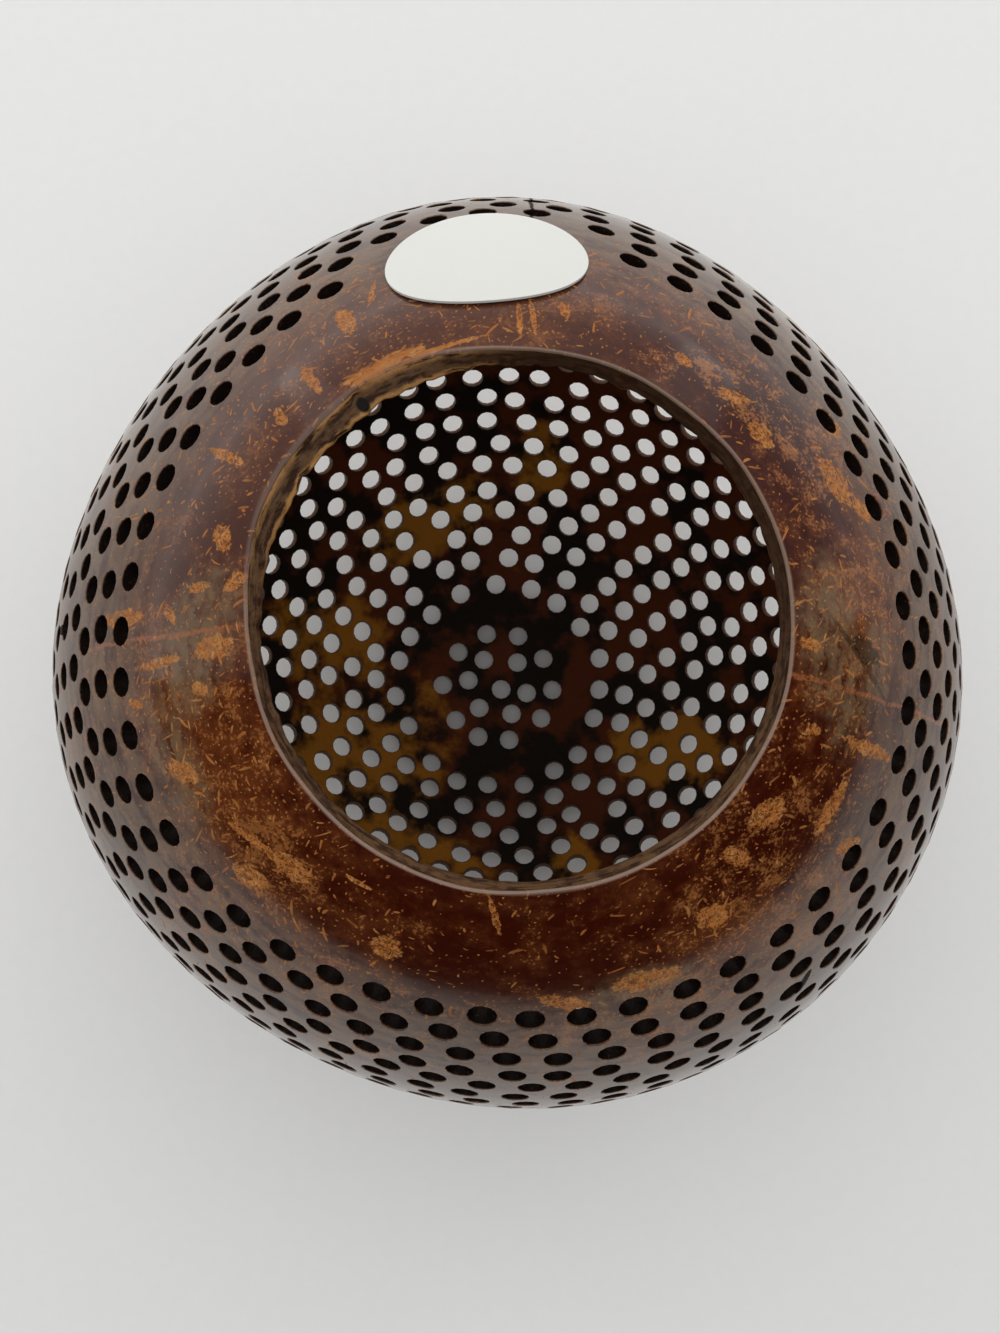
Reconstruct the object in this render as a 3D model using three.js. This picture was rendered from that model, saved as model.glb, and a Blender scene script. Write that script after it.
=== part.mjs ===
// A pierced coconut shell: one natural shell with a wide mouth sawn in its top, a small flat
// sanded under it, rows of drilled holes, and a blank paper label stuck beside the mouth.
// Millimetres, +Z up. The origin is on the table, at the middle of the shell.
import * as THREE from "three";
import { ConvexHull } from "three/addons/math/ConvexHull.js";

// The shell.
const BELLY_DIAMETER = 122; // mean outside width at the belly
const CROWN_HEIGHT = 60; // belly to where the uncut top was
const KEEL_HEIGHT = 60; // belly to where the unsanded bottom was
const WALL = 2.6; // thickness of the shell
const MOUTH_DIAMETER = 58; // the sawn mouth, at its edge
const LIP_ROUND = 0.6; // rounding of the mouth's outer edge
const LIP_DRAFT = 1.1; // how much nearer the axis the mouth is at its inner edge
const FLAT_DIAMETER = 26; // the sanded flat that the shell stands on

// How far the nut is from round: its ovality, its three corners and its four faint sides.
const OVALITY = { share: 0.011, lobes: 2, towards: -51 };
const THREE_CORNERS = { share: 0.015, lobes: 3, towards: -34 };
const FOUR_SIDES = { share: 0.008, lobes: 4, towards: 6 };

// The drilled holes, in rows that are marked out by hand.
const HOLE_DIAMETER = 3.4;
const PLAIN_BAND = 19.5; // from the mouth's edge to the middles of the first row
const ROW_PITCH = 4.4; // from one row to the next
const HOLE_PITCH = 5.95; // from one hole to the next in a row
const CORNER_SAG = 3.4; // how much further down the first row is at the nut's three corners
const LABEL_SAG = 4.6; // how much further down it is past the label
const LABEL_SAG_SPREAD = 17; // degrees to each side of the label
const LEVEL_POLAR = 100; // degrees from the top, where the rows no longer sag
const TOP_WANDER = 0.3; // how far a hole of the first row strays from its place
const BOTTOM_WANDER = 1; // and one at the bottom
const LEAST_PITCH = 4.75; // holes that are nearer each other are moved apart
const SETTLING_ROUNDS = 12; // how often they are moved
const SETTLING_SHARE = 0.35; // of what they lack, each time
const EDGE_MARGIN = 0.6; // least material between a hole and the flat's edge
const SOLID_PITCH = 5.9; // the solid leaves out holes nearer than this, to have fewer triangles

// The paper label.
const LABEL_WIDTH = 23.6;
const LABEL_HEIGHT = 20.5;
const LABEL_THICKNESS = 0.3;
const LABEL_CLEARANCE = 0.25; // from the shell, for its glue
const LABEL_TO_MOUTH = 7.5; // from the mouth's edge to the label
const LABEL_AZIMUTH = 95; // degrees round from +X
const LABEL_MARGIN = 0.5; // least plain shell between the label and a hole

// How finely the surfaces are divided.
const HOLE_SIDES = 4;
const MOUTH_AROUND = 48;
const FLAT_AROUND = 24;
const LABEL_AROUND = 24;
const LABEL_RINGS = 2;

const radians = THREE.MathUtils.degToRad;
const bellyRadius = BELLY_DIAMETER / 2;
const mouthRadius = MOUTH_DIAMETER / 2;
const flatRadius = FLAT_DIAMETER / 2;
// The flat is as deep in the keel as its own width makes it.
const flatDepth = KEEL_HEIGHT * Math.sqrt(1 - (flatRadius / bellyRadius) ** 2);
const flatPolar = Math.PI - Math.atan2(flatRadius, flatDepth);

// The unit vector at a polar angle from the top and an azimuth, both in radians.
function directionAt(polar, azimuth) {
  const level = Math.sin(polar);
  return new THREE.Vector3(
    level * Math.cos(azimuth),
    level * Math.sin(azimuth),
    Math.cos(polar),
  );
}

// The share by which the nut is wider or narrower than round at an azimuth.
function unevenness(azimuth) {
  return [OVALITY, THREE_CORNERS, FOUR_SIDES].reduce(
    (sum, wave) => sum + wave.share * Math.cos(wave.lobes * (azimuth - radians(wave.towards))),
    0,
  );
}

// The distance from the belly's centre to the outside of the whole nut along a unit vector.
function nutAlong(direction) {
  const level = Math.hypot(direction.x, direction.y);
  const height = direction.z > 0 ? CROWN_HEIGHT : KEEL_HEIGHT;
  const round = 1 / Math.hypot(level / bellyRadius, direction.z / height);
  return round * (1 + unevenness(Math.atan2(direction.y, direction.x)) * level ** 2);
}

// The same to the outside of the shell, which is a plane on the sanded flat.
function outsideAlong(direction) {
  const onFlat = -direction.z > -Math.cos(flatPolar) - 1e-9;
  return onFlat ? flatDepth / -direction.z : nutAlong(direction);
}

function insideAlong(direction) {
  return nutAlong(direction) - WALL;
}

// The point of the nut's surface at a depth that is as far from the axis as radius, near the top.
function nearMouth(radius, azimuth, depth) {
  let low = 0;
  let high = Math.PI / 2;
  for (let step = 0; step < 40; step++) {
    const middle = (low + high) / 2;
    const direction = directionAt(middle, azimuth);
    if ((nutAlong(direction) - depth) * Math.sin(middle) < radius) low = middle;
    else high = middle;
  }
  const direction = directionAt(low, azimuth);
  return direction.multiplyScalar(nutAlong(direction) - depth);
}

const mouthPolar = Math.asin(mouthRadius / bellyRadius);
const firstRow = mouthPolar + PLAIN_BAND / bellyRadius;
const holeRadius = HOLE_DIAMETER / 2;
// A hole's corners are so far from its middle that it has the area of a round one.
const cornerRadius =
  holeRadius * Math.sqrt((2 * Math.PI) / HOLE_SIDES / Math.sin((2 * Math.PI) / HOLE_SIDES));

// The label's middle, and the ways across it and up it towards the mouth.
const labelPolar = mouthPolar + (LABEL_TO_MOUTH + LABEL_HEIGHT / 2) / bellyRadius;
const labelMiddle = directionAt(labelPolar, radians(LABEL_AZIMUTH));
const labelAcross = new THREE.Vector3(0, 0, 1).cross(labelMiddle).normalize();
const labelUp = labelMiddle.clone().cross(labelAcross);

// A repeatable number from -1 to 1 for each hole, so that the rows look drilled by hand.
function wander(seed) {
  const wave = Math.sin(seed * 12.9898) * 43758.5453;
  return 2 * (wave - Math.floor(wave)) - 1;
}

// How far down the rows are moved at a polar angle and an azimuth, as an angle.
function sagAt(polar, azimuth) {
  const share = Math.max(0, (radians(LEVEL_POLAR) - polar) / (radians(LEVEL_POLAR) - firstRow));
  const corner = Math.cos(THREE_CORNERS.lobes * (azimuth - radians(THREE_CORNERS.towards)));
  const aside = Math.atan2(
    Math.sin(azimuth - radians(LABEL_AZIMUTH)),
    Math.cos(azimuth - radians(LABEL_AZIMUTH)),
  );
  const label = Math.exp(-((aside / radians(LABEL_SAG_SPREAD)) ** 4));
  return (share * ((CORNER_SAG / 2) * (1 + corner) + LABEL_SAG * label)) / bellyRadius;
}

// Whether a hole along a direction would come under the label, or too near it.
function meetsLabel(direction) {
  const reach = holeRadius + LABEL_MARGIN;
  const across = (direction.dot(labelAcross) * bellyRadius) / (LABEL_WIDTH / 2 + reach);
  const up = (direction.dot(labelUp) * bellyRadius) / (LABEL_HEIGHT / 2 + reach);
  return direction.dot(labelMiddle) > 0 && Math.hypot(across, up) < 1;
}

// The direction of each hole as it is marked out: staggered rows from the first to the bottom.
function markedDirections() {
  const directions = [];
  const rowStep = ROW_PITCH / bellyRadius;
  let turn = 0;
  for (let row = 0; firstRow + row * rowStep < Math.PI; row++) {
    const polar = firstRow + row * rowStep;
    const around = 2 * Math.PI * Math.sin(polar) * bellyRadius;
    const count = Math.max(1, Math.round(around / HOLE_PITCH));
    const depth = (polar - firstRow) / (Math.PI - firstRow);
    const stray = (TOP_WANDER + (BOTTOM_WANDER - TOP_WANDER) * depth) / bellyRadius;
    turn += 0.5 / count;
    for (let hole = 0; hole < count; hole++) {
      const seed = row * 101 + hole;
      const azimuth = (hole / count + turn) * 2 * Math.PI;
      directions.push(
        directionAt(
          polar + sagAt(polar, azimuth) + stray * wander(seed),
          azimuth + (stray * wander(seed + 0.5)) / Math.sin(polar),
        ),
      );
    }
  }
  return directions;
}

// The same directions, with those that are too near each other moved apart.
function settled(directions) {
  const least = LEAST_PITCH / bellyRadius;
  let places = directions;
  for (let round = 0; round < SETTLING_ROUNDS; round++) {
    places = places.map((place) => {
      const moved = place.clone();
      for (const other of places) {
        const gap = place.distanceTo(other);
        if (other === place || gap > least) continue;
        moved.addScaledVector(place.clone().sub(other), (SETTLING_SHARE * (least - gap)) / gap);
      }
      return moved.normalize();
    });
  }
  return places;
}

// The direction of each hole, apart from any under the label or across the flat's edge.
function holeDirections() {
  const fromEdge = (holeRadius + EDGE_MARGIN) / flatDepth;
  return settled(markedDirections()).filter(
    (direction) =>
      Math.abs(Math.acos(direction.z) - flatPolar) > fromEdge && !meetsLabel(direction),
  );
}

// The directions of the holes that the solid has: each far enough from those before it.
function solidHoles() {
  const kept = [];
  for (const direction of holeDirections()) {
    const clear = kept.every((other) => other.distanceTo(direction) > SOLID_PITCH / bellyRadius);
    if (clear) kept.push(direction);
  }
  return kept;
}

// The corners of a hole, as directions, where it meets the surface that is radius away.
function holeCorners(axis, radius) {
  const across = new THREE.Vector3(0, 0, 1).cross(axis).normalize();
  const along = axis.clone().cross(across);
  const tilt = Math.asin(cornerRadius / radius);
  return Array.from({ length: HOLE_SIDES }, (_, corner) => {
    const angle = (corner / HOLE_SIDES) * 2 * Math.PI;
    return axis
      .clone()
      .multiplyScalar(Math.cos(tilt))
      .addScaledVector(across, Math.cos(angle) * Math.sin(tilt))
      .addScaledVector(along, Math.sin(angle) * Math.sin(tilt));
  });
}

// A ring of directions at one polar angle.
function ringAt(polar, count) {
  return Array.from({ length: count }, (_, step) => directionAt(polar, (step / count) * 2 * Math.PI));
}

// The triangles between directions, each with a mark. The triangles inside a hole are left out,
// and so are those that reach the top, where the mouth is.
function skinTriangles(directions, marks) {
  const order = new Map(directions.map((direction, index) => [direction, index]));
  const triangles = [];
  for (const face of new ConvexHull().setFromPoints(directions).faces) {
    const corners = [];
    let edge = face.edge;
    do {
      corners.push(order.get(edge.head().point));
      edge = edge.next;
    } while (edge !== face.edge);
    const [first, ...others] = corners.map((corner) => marks[corner]);
    const inHole = first.startsWith("hole") && others.every((mark) => mark === first);
    const atTop = [first, ...others].includes("top");
    if (!inHole && !atTop) triangles.push(corners);
  }
  return triangles;
}

// The faces of the strip between two rings of points, the second above the first as seen from
// the outside. Each ring is a list of indices.
function stripBetween(lower, upper) {
  return lower.flatMap((corner, step) => {
    const next = (step + 1) % lower.length;
    return [
      [corner, lower[next], upper[next]],
      [corner, upper[next], upper[step]],
    ];
  });
}

// The shell as one closed surface: a skin outside, its twin inside, and walls between them
// round each hole and round the mouth.
function shellGeometry() {
  const outer = [];
  const inner = [];
  const marks = [];
  const add = (outerDirections, innerDirections, mark) => {
    const start = outer.length;
    outer.push(...outerDirections);
    inner.push(...innerDirections);
    marks.push(...outerDirections.map(() => mark));
    return outerDirections.map((_, step) => start + step);
  };
  const same = (directions, mark) => add(directions, directions, mark);

  const holes = solidHoles().map((axis, hole) =>
    add(
      holeCorners(axis, outsideAlong(axis)),
      holeCorners(axis, insideAlong(axis)),
      "hole " + hole,
    ),
  );
  const holesBegin = firstRow - (cornerRadius + TOP_WANDER) / bellyRadius;
  const band = same(ringAt((mouthPolar + holesBegin) / 2, MOUTH_AROUND), "band");
  same(ringAt(flatPolar, FLAT_AROUND), "flat");
  same([new THREE.Vector3(0, 0, 1)], "top");

  const points = [
    ...outer.map((direction) => direction.clone().multiplyScalar(outsideAlong(direction))),
    ...inner.map((direction) => direction.clone().multiplyScalar(insideAlong(direction))),
  ];
  const inside = (corner) => corner + outer.length;
  const skin = skinTriangles(outer, marks);
  const triangles = [
    ...skin,
    ...skin.map((corners) => corners.map(inside).reverse()),
    ...holes.flatMap((rim) => stripBetween(rim.map(inside), rim).map((face) => face.reverse())),
  ];

  const mouthRing = (radius, depth) => {
    const start = points.length;
    for (let step = 0; step < MOUTH_AROUND; step++) {
      points.push(nearMouth(radius, (step / MOUTH_AROUND) * 2 * Math.PI, depth));
    }
    return band.map((_, step) => start + step);
  };
  const rings = [
    band,
    mouthRing(mouthRadius + LIP_ROUND, 0),
    mouthRing(mouthRadius, LIP_ROUND),
    mouthRing(mouthRadius - LIP_DRAFT, WALL),
    band.map(inside),
  ];
  for (let ring = 0; ring + 1 < rings.length; ring++) {
    triangles.push(...stripBetween(rings[ring], rings[ring + 1]));
  }
  return geometryOf(points, triangles);
}

// Points that no triangle uses, such as the top of the uncut nut, are left out.
function geometryOf(points, triangles) {
  return new THREE.BufferGeometry().setFromPoints(triangles.flat().map((corner) => points[corner]));
}

// A point of the label's surface: across and up are shares of its half width and height.
function labelPoint(across, up, height) {
  const direction = labelMiddle
    .clone()
    .addScaledVector(labelAcross, (across * LABEL_WIDTH) / 2 / bellyRadius)
    .addScaledVector(labelUp, (up * LABEL_HEIGHT) / 2 / bellyRadius)
    .normalize();
  return direction.multiplyScalar(nutAlong(direction) + height);
}

// The label follows the shell, a glue line above it, with an oval outline.
function labelGeometry() {
  const points = [];
  const ovalAt = (share, height) => {
    const start = points.length;
    for (let step = 0; step < LABEL_AROUND; step++) {
      const angle = (step / LABEL_AROUND) * 2 * Math.PI;
      points.push(labelPoint(share * Math.cos(angle), share * Math.sin(angle), height));
    }
    return Array.from({ length: LABEL_AROUND }, (_, step) => start + step);
  };
  const under = LABEL_CLEARANCE;
  const over = LABEL_CLEARANCE + LABEL_THICKNESS;
  const shares = Array.from({ length: LABEL_RINGS }, (_, ring) => (ring + 1) / LABEL_RINGS);
  const rings = [
    ...shares.map((share) => ovalAt(share, under)),
    ...shares.reverse().map((share) => ovalAt(share, over)),
  ];
  const triangles = [];
  for (let ring = 0; ring + 1 < rings.length; ring++) {
    triangles.push(...stripBetween(rings[ring], rings[ring + 1]));
  }
  const fan = (ring, height) => {
    points.push(labelPoint(0, 0, height));
    const middle = points.length - 1;
    return ring.map((corner, step) => [corner, ring[(step + 1) % ring.length], middle]);
  };
  triangles.push(...fan(rings[0], under).map((face) => face.reverse()));
  triangles.push(...fan(rings[rings.length - 1], over));
  return geometryOf(points, triangles);
}

function named(name, geometry, material) {
  geometry.computeVertexNormals();
  const mesh = new THREE.Mesh(geometry, material);
  mesh.name = name;
  return mesh;
}

const shellMaterial = new THREE.MeshStandardMaterial({
  color: new THREE.Color(0.2, 0.1, 0.07),
  roughness: 0.35,
  metalness: 0,
});
const paperMaterial = new THREE.MeshStandardMaterial({
  color: new THREE.Color(0.9, 0.9, 0.87),
  roughness: 0.7,
  metalness: 0,
});

const part = new THREE.Group();
part.add(named("coconut_shell", shellGeometry(), shellMaterial));
part.add(named("paper_label", labelGeometry(), paperMaterial));

// The shell's box is centred over the origin, with its flat on the table.
const box = new THREE.Box3().setFromObject(part.children[0]);
part.position.set(-(box.min.x + box.max.x) / 2, -(box.min.y + box.max.y) / 2, flatDepth);

export default part;
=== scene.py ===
"""A pierced coconut shell with a blank paper label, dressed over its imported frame.

Metres, +Z up, in the frame's own place: the shell stands on the table at z = 0. Directions on
the nut are given from the middle of its belly, as a polar angle from the top and an azimuth
round from +X towards the label at +Y.
"""

import logging
import math
import random
from dataclasses import dataclass, field
from enum import Enum

import bpy
import numpy as np
from mathutils import Matrix, Vector
from mathutils.kdtree import KDTree


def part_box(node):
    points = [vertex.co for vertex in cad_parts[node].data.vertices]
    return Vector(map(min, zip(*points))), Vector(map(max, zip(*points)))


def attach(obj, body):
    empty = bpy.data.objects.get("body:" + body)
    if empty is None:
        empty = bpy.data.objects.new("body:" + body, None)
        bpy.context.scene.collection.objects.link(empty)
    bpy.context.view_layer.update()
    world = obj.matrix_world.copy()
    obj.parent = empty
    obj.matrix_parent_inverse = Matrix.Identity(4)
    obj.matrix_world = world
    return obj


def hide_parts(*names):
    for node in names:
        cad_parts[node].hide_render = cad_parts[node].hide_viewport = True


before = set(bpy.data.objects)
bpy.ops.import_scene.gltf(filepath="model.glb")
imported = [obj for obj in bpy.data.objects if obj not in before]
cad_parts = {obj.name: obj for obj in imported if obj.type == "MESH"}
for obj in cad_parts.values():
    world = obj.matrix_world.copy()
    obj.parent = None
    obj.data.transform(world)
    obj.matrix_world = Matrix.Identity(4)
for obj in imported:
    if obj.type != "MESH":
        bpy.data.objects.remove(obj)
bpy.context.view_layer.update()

MM = 0.001
LOG = logging.getLogger("coconut")

# How often a range is halved to find an angle, and the turn over which a slope is measured.
HALVINGS = 30
SLOPE_STEP = 0.002

# Up, and a nudge: both are off by next to nothing, so that a way straight up has a tangent too.
UP = (0.0, 1e-9, 1.0)
NUDGE = (1e-12, 0.0, 0.0)

# What turns a hole's row and number into its repeatable stray.
ROW_SEEDS = 101
WANDER_TURN = 12.9898
WANDER_SPREAD = 43758.5453

Colour = tuple[float, float, float]
Angles = np.ndarray | float


class Slot(Enum):
    """The record's material slots."""

    SHELL = "coconut_shell"
    PAPER = "paper"


# The nut's shape.


@dataclass(frozen=True)
class Wave:
    """One way in which the nut is out of round.

    Attributes:
        share: how far out, as a share of the radius.
        lobes: how many times it goes out and in around the nut.
        towards: azimuth of one of its outermost points, in degrees.
    """

    share: float
    lobes: int
    towards: float

    def at(self, azimuth: Angles) -> Angles:
        """Return the share by which the nut is wider at an azimuth in radians."""
        return self.share * np.cos(self.lobes * (azimuth - math.radians(self.towards)))


@dataclass(frozen=True)
class NutShape:
    """The outside of the nut, and the wall, mouth and flat cut from it, in metres.

    Attributes:
        belly_radius: half of the width of a round nut of this size.
        height: from the belly's middle to the top of the whole nut.
        wall: how thick the shell is.
        mouth_radius: from the axis to the mouth's outer edge.
        lip_round: the rounding of that edge.
        lip_draft: how much nearer the axis the sawn face is at the inside.
        flat_radius: half of the sanded flat's width.
        oval: the nut's widest way.
        corners: its three blunt corners.
        sides: its four faint ones.
    """

    belly_radius: float = 61 * MM
    height: float = 60 * MM
    wall: float = 2.6 * MM
    mouth_radius: float = 29 * MM
    lip_round: float = 0.6 * MM
    lip_draft: float = 1.1 * MM
    flat_radius: float = 13 * MM
    oval: Wave = Wave(0.011, 2, -51)
    corners: Wave = Wave(0.015, 3, -34)
    sides: Wave = Wave(0.008, 4, 6)

    @property
    def waves(self) -> tuple[Wave, ...]:
        """Return every way in which the nut is out of round."""
        return (self.oval, self.corners, self.sides)

    @property
    def mouth_polar(self) -> float:
        """Return the polar angle of the mouth's edge on a round nut, in radians."""
        return math.asin(self.mouth_radius / self.belly_radius)

    @property
    def flat_depth(self) -> float:
        """Return how far the flat is under the belly's middle."""
        return self.height * math.sqrt(1 - (self.flat_radius / self.belly_radius) ** 2)

    @property
    def flat_polar(self) -> float:
        """Return the polar angle of the flat's edge, in radians."""
        return math.pi - math.atan2(self.flat_radius, self.flat_depth)

    def outside_along(self, ways: np.ndarray) -> np.ndarray:
        """Return the distance from the belly's middle to the nut's outside.

        Args:
            ways: unit vectors from the belly's middle.

        Returns:
            The distance along each of them.
        """
        x, y, z = ways[..., 0], ways[..., 1], ways[..., 2]
        level = np.hypot(x, y)
        plain = 1 / np.hypot(level / self.belly_radius, z / self.height)
        azimuth = np.arctan2(y, x)
        return plain * (1 + sum(wave.at(azimuth) for wave in self.waves) * level**2)

    def points(self, polar: Angles, azimuth: Angles, depth: float) -> np.ndarray:
        """Return points at a depth under the outside, seen from the belly's middle.

        Args:
            polar: angles from the top, in radians.
            azimuth: angles round from +X, in radians.
            depth: metres under the outside; negative is above it.

        Returns:
            The points, with the belly's middle as their origin.
        """
        ways = ways_at(polar, azimuth)
        return ways * (self.outside_along(ways) - depth)[..., None]

    def ring_at_radius(self, radius: Angles, azimuth: np.ndarray, depth: Angles) -> np.ndarray:
        """Return the polar angles near the top where the surface is a radius from the axis.

        Args:
            radius: metres from the axis.
            azimuth: angles round from +X, in radians.
            depth: metres under the outside.

        Returns:
            The angle from the top at each azimuth, in radians.
        """
        low, high = np.zeros_like(azimuth), np.full_like(azimuth, math.pi / 2)
        for _ in range(HALVINGS):
            middle = (low + high) / 2
            reach = self.outside_along(ways_at(middle, azimuth)) - depth
            near = reach * np.sin(middle) < radius
            low, high = np.where(near, middle, low), np.where(near, high, middle)
        return (low + high) / 2

    def normals(self, ways: np.ndarray, depth: float = 0.0) -> np.ndarray:
        """Return the surface's outward normals.

        Args:
            ways: unit vectors from the belly's middle.
            depth: metres under the outside.

        Returns:
            The normal where each of them meets the surface at that depth.
        """
        radius = self.outside_along(ways) - depth
        slope = np.zeros_like(ways)
        for side in tangents(ways):
            ahead = self.outside_along(unit(ways + side * SLOPE_STEP))
            behind = self.outside_along(unit(ways - side * SLOPE_STEP))
            slope += side * ((ahead - behind) / (2 * SLOPE_STEP) / radius)[..., None]
        return unit(ways - slope)


def unit(vectors: np.ndarray) -> np.ndarray:
    """Return vectors made one unit long."""
    return vectors / np.linalg.norm(vectors, axis=-1, keepdims=True)


def ways_at(polar: Angles, azimuth: Angles) -> np.ndarray:
    """Return unit vectors.

    Args:
        polar: their angles from the top, in radians.
        azimuth: their angles round from +X, in radians.

    Returns:
        The vectors, one in a row.
    """
    level = np.sin(polar)
    height = np.cos(polar) + 0 * azimuth
    return np.stack((level * np.cos(azimuth), level * np.sin(azimuth), height), axis=-1)


def way_to(polar: float, azimuth: float) -> np.ndarray:
    """Return the unit vector at a polar angle and an azimuth in degrees."""
    return ways_at(math.radians(polar), math.radians(azimuth))


def tangents(ways: np.ndarray) -> tuple[np.ndarray, np.ndarray]:
    """Return the unit vectors round the nut and down it, at unit vectors from its middle."""
    across = unit(np.cross(UP, ways) + NUDGE)
    return across, np.cross(across, ways)


def circle(count: int) -> np.ndarray:
    """Return evenly spaced angles round a circle, in radians."""
    return np.arange(count) * (2 * math.pi / count)


def uneven_line(angles: np.ndarray, lobes: tuple[int, ...], seed: int) -> np.ndarray:
    """Return a repeatable line from about -1 to 1 that closes round a circle.

    Args:
        angles: where round the circle, in radians.
        lobes: how many times each of its waves goes round.
        seed: picks each wave's place.

    Returns:
        The line's height at each angle.
    """
    chance = random.Random(seed)
    waves = [np.cos(lobe * angles + chance.uniform(0, 2 * math.pi)) for lobe in lobes]
    return sum(waves) / math.sqrt(len(waves))


class Surface:
    """A closed surface that is put together from rings of points, from its bottom up."""

    def __init__(self) -> None:
        """Start with no points."""
        self.points: list[np.ndarray] = []
        self.faces: list[tuple[int, ...]] = []
        self.last: list[int] = []

    def ring(self, points: np.ndarray) -> None:
        """Add a ring, joined to the one before it.

        One of the two may have a whole number of times more points than the other. The surface
        starts and ends with a ring of one point.

        Args:
            points: the ring's points, in order.
        """
        start = len(self.points)
        self.points.extend(points)
        new = list(range(start, start + len(points)))
        if self.last:
            self.join(self.last, new)
        self.last = new

    def join(self, below: list[int], above: list[int]) -> None:
        """Fill between two rings.

        Args:
            below: the first ring's points, by number.
            above: the second ring's points, by number.
        """
        most = max(len(below), len(above))
        below = below * most if len(below) == 1 else below
        above = above * most if len(above) == 1 else above
        fewer = min(len(below), len(above))
        low, high = len(below) // fewer, len(above) // fewer
        for step in range(fewer):
            lower = [below[(step * low + k) % len(below)] for k in range(low + 1)]
            upper = [above[(step * high + k) % len(above)] for k in range(high + 1)]
            self.faces.append(tuple(dict.fromkeys((*lower, *reversed(upper)))))

    def object(self, name: str, place: Vector) -> bpy.types.Object:
        """Make the surface a smooth-shaded object.

        Args:
            name: the object's name.
            place: where the points' origin is.

        Returns:
            The object, linked to the scene.
        """
        mesh = bpy.data.meshes.new(name)
        mesh.from_pydata([tuple(point) for point in np.array(self.points) + place], [], self.faces)
        mesh.shade_smooth()
        return linked(name, mesh)


def linked(name: str, data: bpy.types.ID) -> bpy.types.Object:
    """Make an object and link it to the scene.

    Args:
        name: its name.
        data: its mesh, light or camera.

    Returns:
        The object.
    """
    thing = bpy.data.objects.new(name, data)
    bpy.context.scene.collection.objects.link(thing)
    return thing


@dataclass(frozen=True)
class LabelSpot:
    """Where the paper label is and how large it is, in metres and degrees.

    Attributes:
        width: across it, round the nut.
        height: across it, down the nut.
        to_mouth: from its upper edge to the mouth's.
        azimuth: where its middle is, round from +X.
    """

    width: float = 23.6 * MM
    height: float = 20.5 * MM
    to_mouth: float = 7.5 * MM
    azimuth: float = 95.0

    def axes(self, shape: NutShape) -> tuple[np.ndarray, np.ndarray, np.ndarray]:
        """Return the label's directions.

        Args:
            shape: the nut.

        Returns:
            The way to its middle, and the ways across it and down it.
        """
        belly = shape.belly_radius
        polar = shape.mouth_polar + (self.to_mouth + self.height / 2) / belly
        middle = ways_at(polar, math.radians(self.azimuth))
        return (middle, *tangents(middle))


# Where the holes are.


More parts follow.
